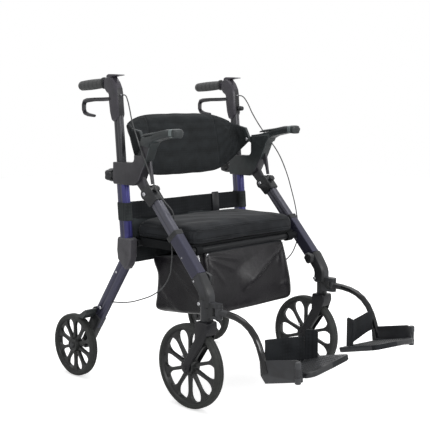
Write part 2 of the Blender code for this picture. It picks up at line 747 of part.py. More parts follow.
def armrest_pad(side):
    """Soft top of the armrest, seated on the arm of the moulding."""
    name = side_name(side)
    top = [(-0.300, 0.7791), (-0.318, 0.7816), (-0.364, 0.7875), (-0.407, 0.7955), (-0.443, 0.7992)]
    lift = GAP + 0.0002
    rings = []
    half = (ARM_REST_OUT - ARM_REST_IN) / 2 - 0.0005
    mid = side * (ARM_REST_OUT + ARM_REST_IN) / 2
    profile = (
        (-1.0, 0.0), (-1.0, 0.45), (-0.86, 0.85), (-0.4, 1.0), (0.4, 1.0), (0.86, 0.85), (1.0, 0.45), (1.0, 0.0),
    )
    for i, (y, z) in enumerate(top):
        share = 0.75 if i in (0, len(top) - 1) else 1.0
        thick = PAD_T * (0.7 if i in (0, len(top) - 1) else 1.0)
        rings.append([at(mid + u * half * share, y, z + lift + v * thick) for u, v in profile])
    return finish("armrest_pad_" + name, skin(bmesh.new(), rings), "armrest_plastic")


def inner_tube(side):
    """Telescoping grooved extrusion that carries the handle."""
    name = side_name(side)
    x = side * FRAME_X
    path = [at(x, upright_at(z), z) for z in (INNER_LOW, HEAD_BORE_TOP - GAP)]
    section = grooved_rect(INNER_W, INNER_D, INNER_R, GROOVE)
    carrier = "handle_slide_axis_" + name
    return finish("inner_tube_" + name, sweep(path, section), "frame_paint", carrier)


def handle_head(side):
    """Tall moulded shell that joins the tube, the grip and the brake lever."""
    name = side_name(side)
    carrier = "handle_slide_axis_" + name
    x = side * FRAME_X
    outline = [
        (-0.159, HEAD_Z - 0.006), (-0.176, HEAD_Z - 0.004), (-0.188, HEAD_Z + 0.004), (-0.1925, HEAD_Z + 0.016),
        (-0.1890, 0.880), (-0.1875, 0.906), (-0.1840, 0.924), (-0.1740, 0.942), (-0.1610, 0.9560), (-0.152, 0.9600),
        (-0.141, 0.9600), (-0.1290, 0.9555), (-0.1240, 0.948), (-0.1215, 0.924), (-0.1330, 0.9110),
        (-0.1445, 0.9060), (-0.1450, 0.880), (-0.1500, 0.848),
    ]
    head = finish("handle_head_" + name, prism(outline, x - HEAD_W / 2, x + HEAD_W / 2), "black_plastic", carrier)
    bevelled(head, 0.0055, 1, 35.0)
    cap = [
        (-0.135, 0.9575), (-0.156, 0.9565), (-0.168, 0.9590), (-0.1915, 0.9610), (-0.1930, 0.9625), (-0.188, 0.9640),
        (-0.166, 0.9650), (-0.146, 0.9655), (-0.138, 0.9625),
    ]
    cap_mesh = prism(cap, x - HEAD_CAP_W / 2, x + HEAD_CAP_W / 2)
    boolean(head, cutter("head_cap_" + name, cap_mesh, carrier), "UNION")
    stub = turned(
        ((0.0, GRIP_CORE_R), (GRIP_STUB, GRIP_CORE_R)),
        at(x, *GRIP_START) - grip_line() * 0.012, grip_line(), 12,
    )
    boolean(head, cutter("grip_stub_" + name, stub, carrier), "UNION")
    path = [at(x, upright_at(z), z) for z in (HEAD_Z - 0.02, HEAD_BORE_TOP)]
    section = rounded_rect(INNER_W + 2 * GAP, INNER_D + 2 * GAP, INNER_R)
    boolean(head, cutter("head_bore_" + name, sweep(path, section), carrier))
    slot = arc_points(LEVER_ROOT, LEVER_EYE_R + 0.0015, 90, 230, 6)
    slot += [(LEVER_ROOT[0] + 0.004, LEVER_ROOT[1] - 0.022), (LEVER_ROOT[0] + 0.04, LEVER_ROOT[1] - 0.022)]
    slot += [(LEVER_ROOT[0] + 0.04, LEVER_ROOT[1] + LEVER_EYE_R + 0.0015)]
    boolean(head, cutter("lever_slot_" + name, prism(slot, x - LEVER_W / 2 - FIT, x + LEVER_W / 2 + FIT), carrier))
    pin = bar(at(x - HEAD_W / 2 + 0.002, *LEVER_ROOT), at(x + HEAD_W / 2 - 0.002, *LEVER_ROOT), 0.003, 8)
    boolean(head, cutter("lever_pin_" + name, pin, carrier), "UNION")
    return head


def grip_line():
    return Vector((0.0, GRIP_END[0] - GRIP_START[0], GRIP_END[1] - GRIP_START[1])).normalized()


def hand_grip(side):
    """Soft grip pushed over the head's stub, with a flange and a rounded end."""
    name = side_name(side)
    carrier = "handle_slide_axis_" + name
    x = side * FRAME_X
    length = math.hypot(GRIP_END[0] - GRIP_START[0], GRIP_END[1] - GRIP_START[1])
    bore = GRIP_CORE_R + GAP
    depth = GRIP_STUB - 0.012 + 0.0005
    profile = (
        (depth, bore), (0.0015, bore), (0.0015, GRIP_R + 0.002), (0.005, GRIP_R + 0.0025), (0.008, GRIP_R),
        (length * 0.5, GRIP_R + 0.0008), (length - 0.010, GRIP_R), (length - 0.003, GRIP_R - 0.003),
        (length, GRIP_R - 0.009),
    )
    start = at(x, *GRIP_START)
    mesh_data = bmesh.new()
    turned(profile, start, grip_line(), 16, mesh_data)
    return finish("hand_grip_" + name, mesh_data, "grip_rubber", carrier)


def brake_lever(side):
    """Loop brake lever that hangs from a pin in the handle head."""
    name = side_name(side)
    x = side * FRAME_X
    carrier = pivot("brake_lever_axis_" + name, at(x, *LEVER_ROOT), "handle_slide_axis_" + name)
    centre_line = (
        LEVER_ROOT, (-0.132, 0.8905), (-0.104, 0.8895), (-0.060, 0.8890), (-0.022, 0.8865), (-0.0095, 0.8825),
        (-0.0055, 0.8730), (-0.0055, 0.857), (-0.0105, 0.8475), (-0.028, 0.8415), (-0.056, 0.8385),
    )
    widths = (0.012, 0.010, 0.0085, 0.0085, 0.0105, 0.0135, 0.0145, 0.0135, 0.0105, 0.0070, 0.0050)
    mesh_data = bmesh.new()
    rings = []
    for i, (y, z) in enumerate(centre_line):
        before = centre_line[max(i - 1, 0)]
        after = centre_line[min(i + 1, len(centre_line) - 1)]
        tangent = Vector((after[0] - before[0], after[1] - before[1])).normalized()
        normal = Vector((-tangent.y, tangent.x))
        section = rounded_rect(LEVER_W, widths[i], widths[i] * 0.38, 1)
        rings.append([at(x + u, y + normal.x * v, z + normal.y * v) for u, v in section])
    skin(mesh_data, rings)
    lever = finish("brake_lever_" + name, mesh_data, "black_plastic", carrier)
    eye = bar(at(x - LEVER_W / 2, *LEVER_ROOT), at(x + LEVER_W / 2, *LEVER_ROOT), LEVER_EYE_R, 12)
    boolean(lever, cutter("lever_eye_" + name, eye, carrier), "UNION")
    hole = bar(at(x - LEVER_W, *LEVER_ROOT), at(x + LEVER_W, *LEVER_ROOT), 0.003 + FIT, 8)
    boolean(lever, cutter("lever_hole_" + name, hole, carrier))
    return lever


def head_knob():
    """Small two-part knob on the front of the left handle head."""
    x = FRAME_X + 0.004
    z = 0.8590
    y = -0.1918
    carrier = pivot("head_knob_axis", at(x, y, z), "handle_slide_axis_left")
    profile = (
        (0.0002, 0.0045), (0.003, 0.0045), (0.003, 0.0085), (0.009, 0.0085), (0.0100, 0.006),
        (0.0120, 0.0082), (0.0185, 0.0070),
    )
    return finish(
        "head_knob", turned(profile, at(x, y, z), Vector((0.0, -1.0, 0.0)), 12), "black_plastic", carrier,
    )


def rear_rail():
    """Cross tube between the knees, which the rear of the seat rests on."""
    end = FRAME_X - KNEE_W / 2 - GAP
    start = at(-end, *REAR_RAIL)
    return finish("rear_rail", bar(start, at(end, *REAR_RAIL), RAIL_R, 16), "black_steel")


def back_strap():
    """Webbing between the uprights, with a loop round each and the cloth panel below it."""
    mesh_data = bmesh.new()
    reach = FRAME_X - TUBE_W / 2 - GAP - STRAP_T / 2
    outline = [
        (upright_at(STRAP_LOW) - STRAP_T / 2, STRAP_LOW), (upright_at(STRAP_HIGH) - STRAP_T / 2, STRAP_HIGH),
        (upright_at(STRAP_HIGH) + STRAP_T / 2, STRAP_HIGH), (upright_at(STRAP_LOW) + STRAP_T / 2, STRAP_LOW),
    ]
    strap = finish("back_strap", prism(outline, -reach, reach, mesh_data), "fabric")
    for side in (1, -1):
        x = side * FRAME_X
        rings = []
        levels = (
            (STRAP_LOW, STRAP_T), (STRAP_HIGH, STRAP_T), (STRAP_HIGH, 0.0), (STRAP_LOW, 0.0),
        )
        for z, grow in levels:
            section = rounded_rect(TUBE_W + 2 * (GAP + grow), TUBE_D + 2 * (GAP + grow), TUBE_R + grow)
            rings.append([at(x + u, upright_at(z) + v, z) for u, v in section])
        boolean(strap, cutter("strap_loop_" + side_name(side), skin(bmesh.new(), rings, closed=True)), "UNION")
    low_y = upright_at(STRAP_LOW)
    panel = [
        (low_y - 0.0006, STRAP_LOW + 0.004), (low_y - 0.001, PANEL_LOW),
        (low_y + 0.001, PANEL_LOW), (low_y + 0.0012, STRAP_LOW + 0.004),
    ]
    inner = FRAME_X - KNEE_W / 2 - 0.001
    boolean(strap, cutter("rear_panel", prism(panel, -inner, PANEL_END_X)), "UNION")
    return strap


def back_pad():
    """Padded band that goes round the seated person's back, between the two armrests."""
    carrier = pivot("back_pad_axis", at(0.0, *BACK_PIVOT))
    stations = (
        # x, y and z of the top edge, then of the lower edge, then the thickness
        (0.0, -0.1490, 0.8430, 0.0, -0.1860, 0.6520, 0.028),
        (0.075, -0.1495, 0.8425, 0.075, -0.1860, 0.6520, 0.028),
        (0.146, -0.1520, 0.8400, 0.142, -0.1870, 0.6555, 0.027),
        (0.190, -0.1595, 0.8290, 0.174, -0.1930, 0.6680, 0.024),
        (0.2140, -0.1680, 0.8205, 0.198, -0.2030, 0.6830, 0.021),
        (0.2290, -0.1780, 0.8145, 0.218, -0.2160, 0.7010, 0.018),
        (0.2365, -0.2050, 0.8070, 0.2365, -0.2290, 0.7205, 0.014),
        (0.2370, -0.2300, 0.8010, 0.2370, -0.2460, 0.7340, 0.011),
        (0.2370, -0.2520, 0.7955, 0.2370, -0.2620, 0.7475, 0.009),
        (0.2370, -0.2680, 0.7640, 0.2370, -0.2700, 0.7500, 0.008),
    )
    mirrored = [(-xt, yt, zt, -xl, yl, zl, t) for xt, yt, zt, xl, yl, zl, t in reversed(stations[1:])]
    line = mirrored + list(stations)
    rings = []
    for i, (x_top, y_top, z_top, x_low, y_low, z_low, thick) in enumerate(line):
        before = line[max(i - 1, 0)]
        after = line[min(i + 1, len(line) - 1)]
        tangent = Vector((after[0] - before[0], after[1] - before[1])).normalized()
        inward = Vector((tangent.y, -tangent.x))
        ring = []
        for height, depth in BAND_SECTION:
            share = (height + 1.0) / 2.0
            x = x_low + (x_top - x_low) * share + inward.x * depth * thick
            y = y_low + (y_top - y_low) * share + inward.y * depth * thick
            ring.append(at(x, y, z_low + (z_top - z_low) * share))
        rings.append(ring)
    pad = finish("back_pad", skin(bmesh.new(), rings), "fabric", carrier, 50.0)
    for side in (1, -1):
        hole = bar(at(side * 0.21, *BACK_PIVOT), at(side * 0.25, *BACK_PIVOT), BACK_PIN_R + FIT, 10)
        boolean(pad, cutter("back_hole_" + side_name(side), hole, carrier))
    return pad


def front_leg(side):
    """Extrusion of the folding front frame."""
    name = side_name(side)
    x = side * FRAME_X
    path = [at(x, *leg_at(LEG_START)), at(x, *leg_at(LEG_LENGTH))]
    section = grooved_rect(TUBE_W, LEG_D, TUBE_R, GROOVE)
    leg = finish("front_leg_" + name, sweep(path, section), "frame_paint", "fold_axis")
    return leg


def leg_joint(side):
    """Forked joint on the head of the front leg, which turns on the housing's tongue."""
    name = side_name(side)
    x = side * FRAME_X
    half = JOINT_W / 2
    reach = LEG_D / 2 + 0.0035
    outline = arc_points(FOLD_PIVOT, CHEEK_R, -85, 85, 7)
    outline += [leg_at(-0.010, reach - 0.004), leg_at(-0.002, reach)]
    outline += [leg_at(JOINT_GRIP, reach), leg_at(JOINT_GRIP, -reach)]
    joint = finish("leg_joint_" + name, prism(outline, x - half, x + half), "black_plastic", "fold_axis")
    bevelled(joint, 0.0025)
    path = [at(x, *leg_at(LEG_START - GAP)), at(x, *leg_at(JOINT_GRIP + 0.02))]
    section = rounded_rect(TUBE_W + 2 * GAP, LEG_D + 2 * GAP, TUBE_R)
    boolean(joint, cutter("joint_bore_" + name, sweep(path, section), "fold_axis"))
    gap_r = TONGUE_R + 0.0015
    slot = arc_points(FOLD_PIVOT, gap_r, 128, 310, 8)
    slot += [
        (FOLD_PIVOT[0] + 0.07 * math.cos(math.radians(310)), FOLD_PIVOT[1] + 0.07 * math.sin(math.radians(310))),
        (FOLD_PIVOT[0] + 0.09, FOLD_PIVOT[1] + 0.02), (FOLD_PIVOT[0] + 0.03, FOLD_PIVOT[1] + 0.07),
        (FOLD_PIVOT[0] + 0.07 * math.cos(math.radians(128)), FOLD_PIVOT[1] + 0.07 * math.sin(math.radians(128))),
    ]
    boolean(joint, cutter(
        "joint_slot_" + name, prism(slot, x - TONGUE_W / 2 - FIT, x + TONGUE_W / 2 + FIT), "fold_axis",
    ))
    hole = bar(at(x - 0.05, *FOLD_PIVOT), at(x + 0.05, *FOLD_PIVOT), 0.005 + FIT, 10)
    boolean(joint, cutter("joint_hole_" + name, hole, "fold_axis"))
    return joint


def lock_knob(side):
    """Round knob on the front of the joint, which locks the unfolded leg."""
    name = side_name(side)
    x = side * FRAME_X
    reach = LEG_D / 2 + 0.0035
    seat = leg_at(0.014, reach + GAP)
    carrier = pivot("lock_knob_axis_" + name, at(x, *seat), "fold_axis")
    line = Vector((0.0, LEG_LINE.z, -LEG_LINE.y))
    profile = ((0.0, 0.006), (0.003, 0.006), (0.004, 0.0105), (0.0105, 0.011), (0.0135, 0.0085))
    return finish(
        "lock_knob_" + name, turned(profile, at(x, *seat), line, 16, lobes=8, depth=0.0012), "black_plastic", carrier,
    )


def lower_leg(side):
    """Moulded elbow from the extrusion down to the caster's stem housing."""
    name = side_name(side)
    x = side * ELBOW_X
    reach = LEG_D / 2 + 0.003
    front = STEM_Y - 0.020
    rear = STEM_Y + 0.0125
    outline = [
        leg_at(LEG_LENGTH - ELBOW_GRIP, reach), leg_at(LEG_LENGTH - 0.004, reach), (front + 0.0110, 0.3665),
        (front + 0.0040, 0.3540), (front, 0.3400), (front, 0.3160), (front + 0.004, STEM_SHOULDER - 0.004),
        (rear + 0.007, STEM_SHOULDER - 0.004), (rear + 0.011, STEM_SHOULDER + 0.006), (rear + 0.006, 0.3250),
        (rear + 0.008, 0.3440), leg_at(LEG_LENGTH + 0.008, -reach), leg_at(LEG_LENGTH - ELBOW_GRIP, -reach),
    ]
    elbow = finish(
        "lower_leg_" + name, prism(outline, x - ELBOW_W / 2, x + ELBOW_W / 2), "black_plastic", "fold_axis",
    )
    bevelled(elbow, 0.0055, 1, 30.0)
    stem = bar(at(side * FRONT_WHEEL_X, STEM_Y, STEM_LOW), at(side * FRONT_WHEEL_X, STEM_Y, 0.330), STEM_R, 16)
    boolean(elbow, cutter("stem_housing_" + name, stem, "fold_axis"), "UNION")
    mid = side * FRAME_X
    path = [at(mid, *leg_at(LEG_LENGTH - ELBOW_GRIP - 0.02)), at(mid, *leg_at(LEG_LENGTH + GAP))]
    section = rounded_rect(TUBE_W + 2 * GAP, LEG_D + 2 * GAP, TUBE_R)
    boolean(elbow, cutter("elbow_bore_" + name, sweep(path, section), "fold_axis"))
    stem = side * FRONT_WHEEL_X
    bore = bar(at(stem, STEM_Y, STEM_LOW - 0.02), at(stem, STEM_Y, STEM_HIGH), STEM_PIN_R + FIT, 10)
    boolean(elbow, cutter("stem_bore_" + name, bore, "fold_axis"))
    lug_low = at(side * ARM_X, SWING_Y, HINGE_LOW)
    lug_high = at(side * ARM_X, SWING_Y, HINGE_HIGH)
    lug = bar(lug_low, lug_high, HINGE_R, 12)
    boolean(elbow, cutter("hinge_lug_" + name, lug, "fold_axis"), "UNION")
    web_end = STEM_Y - STEM_PIN_R - 0.002
    web = prism(
        [
            (SWING_Y, HINGE_LOW), (web_end, HINGE_LOW), (web_end, HINGE_HIGH), (SWING_Y, HINGE_HIGH),
        ],
        side * ARM_X - HINGE_R, side * ARM_X + HINGE_R,
    )
    boolean(elbow, cutter("hinge_web_" + name, web, "fold_axis"), "UNION")
    hinge_slot = bar(
        at(side * ARM_X, SWING_Y, ARM_TOP_Z - HINGE_EYE_H / 2 - FIT),
        at(side * ARM_X, SWING_Y, ARM_TOP_Z + HINGE_EYE_H / 2 + FIT), HINGE_R + 0.0060, 14,
    )
    boolean(elbow, cutter("hinge_slot_" + name, hinge_slot, "fold_axis"))
    pin_low = at(side * ARM_X, SWING_Y, HINGE_LOW + 0.001)
    pin = bar(pin_low, at(side * ARM_X, SWING_Y, HINGE_HIGH - 0.001), HINGE_PIN_R, 8)
    boolean(elbow, cutter("hinge_pin_" + name, pin, "fold_axis"), "UNION")
    return elbow


def clamp_knob(side):
    """Knob on the inner face of the elbow that clamps the extrusion."""
    name = side_name(side)
    place = leg_at(LEG_LENGTH - CLAMP_KNOB_BACK, 0.0)
    x = side * (ELBOW_X - ELBOW_W / 2 - GAP)
    carrier = pivot("clamp_knob_axis_" + name, at(x, *place), "fold_axis")
    profile = (
        (0.0, 0.0075), (0.003, 0.0075), (0.0055, 0.0185), (0.014, 0.0195), (0.020, 0.0145),
    )
    return finish(
        "clamp_knob_" + name,
        turned(profile, at(x, *place), Vector((-side, 0.0, 0.0)), 20, lobes=5, depth=0.0028),
        "black_plastic", carrier,
    )


def fork(side):
    """Caster fork with its stem and the front wheel's axle."""
    name = side_name(side)
    x = side * FRONT_WHEEL_X
    carrier = pivot("caster_axis_" + name, at(x, STEM_Y, STEM_LOW), "fold_axis")
    axle = (FRONT_AXLE_Y, FRONT_WHEEL_R)
    outline = [(STEM_Y - 0.0225, STEM_LOW - GAP), (STEM_Y - 0.024, 0.248), (STEM_Y - 0.012, 0.215)]
    outline += [(FRONT_AXLE_Y - 0.030, 0.150)]
    outline += arc_points(axle, 0.0165, 165, 360 + 20, 6)
    outline += [(FRONT_AXLE_Y - 0.004, 0.158), (STEM_Y + 0.026, 0.215), (STEM_Y + 0.0255, 0.250)]
    outline += [(STEM_Y + 0.0225, STEM_LOW - GAP)]
    half = FRONT_HUB_W / 2 + FIT + FORK_ARM_T
    made = finish("fork_" + name, prism(outline, x - half, x + half), "black_plastic", carrier)
    bevelled(made, 0.003, 1, 30.0)
    slot = turned(
        ((-FRONT_HUB_W / 2 - FIT, FRONT_WHEEL_R + 0.0055), (FRONT_HUB_W / 2 + FIT, FRONT_WHEEL_R + 0.0055)),
        at(x, *axle), Vector((1.0, 0.0, 0.0)), 48,
    )
    boolean(made, cutter("fork_slot_" + name, slot, carrier))
    pin = bar(at(x, STEM_Y, STEM_LOW - 0.010), at(x, STEM_Y, STEM_HIGH - 0.003), STEM_PIN_R, 10)
    boolean(made, cutter("fork_stem_" + name, pin, carrier), "UNION")
    bolt = turned(
        ((0.0, 0.007), (0.004, 0.008), (0.004, AXLE_R), (2 * half + 0.004, AXLE_R), (2 * half + 0.004, 0.008),
         (2 * half + 0.008, 0.007)),
        at(x - half - 0.004, *axle), Vector((1.0, 0.0, 0.0)), 10,
    )
    boolean(made, cutter("fork_axle_" + name, bolt, carrier), "UNION")
    return made


def front_rail():
    """Cross tube between the front legs, which the seat hinges on."""
    end = FRAME_X - TUBE_W / 2 - GAP
    return finish(
        "front_rail", bar(at(-end, *SEAT_HINGE), at(end, *SEAT_HINGE), RAIL_R, 16), "black_steel", "fold_axis",
    )


def seat_board():
    """Plate under the cushion, with side flanges and hinge loops round the front rail."""
    bottom = SEAT_HINGE[1] + RAIL_R + 0.001
    mesh_data = bmesh.new()
    low = at(-SEAT_HALF_W + 0.002, SEAT_FRONT + 0.006, bottom)
    box(low, at(SEAT_HALF_W - 0.002, SEAT_REAR - 0.004, bottom + BOARD_T), mesh_data)
    board = finish("seat_board", mesh_data, "black_plastic", "seat_axis")
    for side in (1, -1):
        name = side_name(side)
        outer = side * (SEAT_HALF_W + 0.004)
        inner = side * (SEAT_HALF_W - 0.004)
        flange = [
            (REAR_RAIL[0] - RAIL_R - 0.006, bottom + BOARD_T), (SEAT_HINGE[0] + RAIL_R + 0.006, bottom + BOARD_T),
            (SEAT_HINGE[0] + RAIL_R + 0.006, bottom - 0.012), (SEAT_HINGE[0] + RAIL_R + 0.014, bottom - 0.018),
            (REAR_RAIL[0] - RAIL_R - 0.014, bottom - 0.018), (REAR_RAIL[0] - RAIL_R - 0.006, bottom - 0.012),
        ]
        flange_mesh = prism(flange, min(inner, outer), max(inner, outer))
        boolean(board, cutter("flange_" + name, flange_mesh, "seat_axis"), "UNION")
        loop = ring_solid(
            (
                (-0.0125, RAIL_R + FIT), (0.0125, RAIL_R + FIT),
                (0.0125, RAIL_R + 0.0045), (-0.0125, RAIL_R + 0.0045),
            ),
            at(side * 0.205, *SEAT_HINGE), Vector((1.0, 0.0, 0.0)), 14,
        )
        boolean(board, cutter("hinge_loop_" + name, loop, "seat_axis"), "UNION")
    return board


def seat_cushion():
    """Crowned cushion whose sides draw in between its corners."""
    bottom = SEAT_HINGE[1] + RAIL_R + 0.001 + BOARD_T + GAP
    levels = (
        (0.0, 0.990, 0.0), (0.22, 1.000, 0.0), (0.50, 1.000, 0.0), (0.74, 0.985, 0.0), (0.90, 0.955, 0.05), (0.97, 0.80, 0.45),
        (1.0, 0.45, 1.0),
    )
    mid_y = (SEAT_FRONT + SEAT_REAR) / 2
    half_y = (SEAT_REAR - SEAT_FRONT) / 2
    rings = []
    for height, share, crown in levels:
        ring = []
        for u, v in rounded_rect(2.0, 2.0, 0.16, 2):
            ring.append((u, v))
        dense = []
        for i, (u, v) in enumerate(ring):
            nu, nv = ring[(i + 1) % len(ring)]
            dense.append((u, v))
            if math.hypot(nu - u, nv - v) > 0.5:
                for part in (1, 2, 3):
                    dense.append((u + (nu - u) * part / 4, v + (nv - v) * part / 4))
        row = []
        for u, v in dense:
            pull = 0.012 * (1.0 - min(abs(u), abs(v)) ** 2) * (1.0 - crown)
            length = math.hypot(u, v)
            draw_x = SEAT_HALF_W * u * share - pull * u / length * 0.5
            draw_y = half_y * v * share - pull * v / length * 0.5
            lift = 0.006 * crown
            row.append(at(draw_x, mid_y + draw_y, bottom + CUSHION_T * height + lift * (1 - 0.3 * (u * u + v * v))))
        rings.append(row)
    return finish("seat_cushion", skin(bmesh.new(), rings), "fabric", "seat_axis", 50.0)


def bag():
    """Open storage bag under the seat, hung from the front rail."""
    top_front = (SEAT_HINGE[0] - 0.004, SEAT_HINGE[1] - RAIL_R - GAP)
    outer_levels = (
        # y front, z front, y rear, z rear, half width
        (-0.485, 0.2560, -0.262, 0.2310, 0.162), (-0.500, 0.2665, -0.2425, 0.2430, 0.180),
        (-0.497, 0.305, -0.2530, 0.2850, 0.184), (-0.486, 0.360, -0.2630, 0.3500, 0.182),
        (-0.474, 0.415, -0.2450, 0.3850, 0.180), (top_front[0], top_front[1], -0.2350, 0.4020, 0.178),
    )
    rings = []
    for front_y, front_z, rear_y, rear_z, half in outer_levels:
        rings.append(bag_ring(front_y, front_z, rear_y, rear_z, half))
    inner = []
    for front_y, front_z, rear_y, rear_z, half in outer_levels:
        lift = BAG_WALL if front_z < 0.27 else 0.0
        inner.append(bag_ring(front_y + BAG_WALL, front_z + lift, rear_y - BAG_WALL, rear_z + lift, half - BAG_WALL))
    rings += list(reversed(inner[1:]))
    return finish("bag", skin(bmesh.new(), rings), "bag_nylon", "fold_axis", 50.0)


def bag_ring(front_y, front_z, rear_y, rear_z, half):
    """One loop of the bag's wall, bulging a little between its corners."""
    mid = (front_y + rear_y) / 2
    depth = rear_y - front_y
    ring = []
    for u, v in ((-1, -0.9), (-0.94, -1), (-0.4, -1.03), (0.4, -1.03), (0.94, -1), (1, -0.9), (1.015, 0.0), (1, 0.9),
                 (0.94, 1), (0.0, 1.0), (-0.94, 1), (-1, 0.9), (-1.015, 0.0)):
        share = (v + 1) / 2
        share = min(max(share, 0.0), 1.0)
        ring.append(at(half * u, mid + depth / 2 * v, front_z + (rear_z - front_z) * share))
    return ring


def footrest_arm(side):
    """Curved tube from the caster housing down to the footplate, with its guard."""
    name = side_name(side)
    x = side * ARM_X
    carrier = pivot("footrest_swing_axis_" + name, at(x, SWING_Y, ARM_TOP_Z), "fold_axis")
    line = [(SWING_Y - 0.004, ARM_TOP_Z), (-0.645, 0.3005), (-0.675, 0.2965), (-0.700, 0.2890), (-0.724, 0.2750)]
    line += [(-0.743, 0.2560), (-0.757, 0.233), (-0.768, 0.206), ARM_END]
    path = [at(x, y, z) for y, z in line]
    arm = finish(
        "footrest_arm_" + name,
        sweep(path, circle(ARM_R, 10)), "black_plastic", carrier,
    )
    eye = bar(
        at(x, SWING_Y, ARM_TOP_Z - HINGE_EYE_H / 2), at(x, SWING_Y, ARM_TOP_Z + HINGE_EYE_H / 2), HINGE_R, 12,
    )
    boolean(arm, cutter("arm_eye_" + name, eye, carrier), "UNION")
    hole = bar(at(x, SWING_Y, ARM_TOP_Z - 0.03), at(x, SWING_Y, ARM_TOP_Z + 0.03), HINGE_PIN_R + FIT, 8)
    boolean(arm, cutter("arm_hole_" + name, hole, carrier))
    guard = guard_outline()
    inner = side * GUARD_X
    outer = side * (GUARD_X + GUARD_T)
    boolean(arm, cutter("guard_" + name, prism(guard, min(inner, outer), max(inner, outer)), carrier), "UNION")
    axis_in = PLATE_OUTER_X - PLATE_AXIS_X
    wall_in = PLATE_OUTER_X - GUARD_X - 0.001
    section = arc_points((axis_in, -BARREL_R), BARREL_R, -90, 90, 4)
    section += [(wall_in, 0.0), (wall_in, -2 * BARREL_R)]
    for start, end in PLATE_LUGS:
        rings = [[plate_point(side, f, inward, up) for inward, up in section] for f in (start, end)]
        boolean(arm, cutter("plate_lug_" + name, skin(bmesh.new(), rings), carrier), "UNION")
    pin_start = plate_axis_point(side, PLATE_LUGS[0][0] + 0.001)
    pin = bar(pin_start, plate_axis_point(side, PLATE_LUGS[1][1] - 0.001), PLATE_PIN_R, 8)
    boolean(arm, cutter("plate_pin_" + name, pin, carrier), "UNION")
    return arm


def plate_axis_point(side, forward):
    """A point on the footplate's hinge pin."""
    return plate_point(side, forward, PLATE_OUTER_X - PLATE_AXIS_X, -BARREL_R)


def guard_outline():
    """Side wall beside the foot, in the side plane, parallel to the footplate."""
    corner = 0.011
    points = [(-0.012, 0.0), (0.0, -0.022), (GUARD_LENGTH - 0.002, -0.022), (GUARD_LENGTH, -0.010)]
    points += arc_points((GUARD_LENGTH - corner, GUARD_H - 0.004 - corner), corner, 0, 90, 3)
    points += [(-0.006, GUARD_H)]
    return [plate_yz(forward, up) for forward, up in points]


def plate_yz(forward, up):
    """A (y, z) point in the footplate's tilted side view, from its rear outer corner."""
    return (
        PLATE_REAR[0] - forward * math.cos(PLATE_PITCH) - up * -math.sin(PLATE_PITCH) * 1.0,
        PLATE_REAR[1] + forward * math.sin(PLATE_PITCH) + up * math.cos(PLATE_PITCH),
    )


def plate_point(side, forward, inward, up):
    """A point of the footplate's own axes, from its rear outer top corner."""
    y, z = plate_yz(forward, 0.0)
    lean_up = math.sin(PLATE_ROLL)
    normal_y = math.sin(PLATE_PITCH)
    normal_z = math.cos(PLATE_PITCH)
    base = at(side * (PLATE_OUTER_X - inward * math.cos(PLATE_ROLL)), y, z + inward * lean_up)
    return base + Vector((-side * lean_up * up, normal_y * up, normal_z * up))


def footplate(side):
    """Hinged footplate with a rounded toe, and the post that holds the heel strap."""
    name = side_name(side)
    carrier = pivot(
        "footplate_axis_" + name, plate_axis_point(side, 0.0), "footrest_swing_axis_" + name,
    )
    width = (PLATE_OUTER_X - PLATE_INNER_X) / math.cos(PLATE_ROLL)
    corner = 0.022
    outline = [(0.0, 0.0), (PLATE_LENGTH - corner, 0.0)]
    outline += [
        (PLATE_LENGTH - corner + corner * math.sin(math.radians(a)), corner - corner * math.cos(math.radians(a)))
        for a in (30, 60, 90)
    ]
    outline += [(PLATE_LENGTH - 0.004, width * 0.5), (PLATE_LENGTH - 0.014, width - 0.014)]
    outline += [(PLATE_LENGTH - 0.020, width - 0.004), (PLATE_LENGTH - 0.027, width), (0.012, width), (0.0, width - 0.012)]
    mesh_data = bmesh.new()
    rings = [
        [plate_point(side, forward, inward, up) for forward, inward in outline] for up in (0.0, -PLATE_T)
    ]
    skin(mesh_data, rings)
    plate = finish("footplate_" + name, mesh_data, "black_plastic", carrier)
    bevelled(plate, 0.002, 1, 50.0)
    start = PLATE_LUGS[0][1] + FIT
    end = PLATE_LUGS[1][0] - FIT
    barrel = bar(plate_axis_point(side, start), plate_axis_point(side, end), BARREL_R, 10)
    boolean(plate, cutter("barrel_" + name, barrel, carrier), "UNION")
    notch_in = PLATE_OUTER_X - PLATE_AXIS_X + BARREL_R + 0.001
    for low, high in ((-0.02, start), (end, PLATE_LUGS[1][1] + 0.002)):
        rings = []
        for forward in (low, high):
            rings.append([
                plate_point(side, forward, inward, up)
                for inward, up in ((-0.02, 0.01), (notch_in, 0.01), (notch_in, -0.03), (-0.02, -0.03))
            ])
        boolean(plate, cutter("plate_notch_" + name, skin(bmesh.new(), rings), carrier))
    bore = bar(plate_axis_point(side, -0.01), plate_axis_point(side, PLATE_LENGTH), PLATE_PIN_R + FIT, 8)
    boolean(plate, cutter("barrel_bore_" + name, bore, carrier))
    post_rings = []
    direction = Vector((-side * 0.47, -0.88, 0.0)).normalized()
    across = Vector((-direction.y, direction.x, 0.0))
    foot = PLATE_REAR[1] + 0.006
    for z, share in ((foot, 1.0), (POST_TOP - 0.006, 1.0), (POST_TOP, 0.75)):
        centre = at(side * POST_X, POST_Y, z)
        post_rings.append([
            centre + direction * s * share * POST_W / 2 + across * t * POST_T / 2
            for s, t in ((-1, -1), (1, -1), (1, 1), (-1, 1))
        ])
    boolean(plate, cutter("heel_post_" + name, skin(bmesh.new(), post_rings), carrier), "UNION")
    return plate


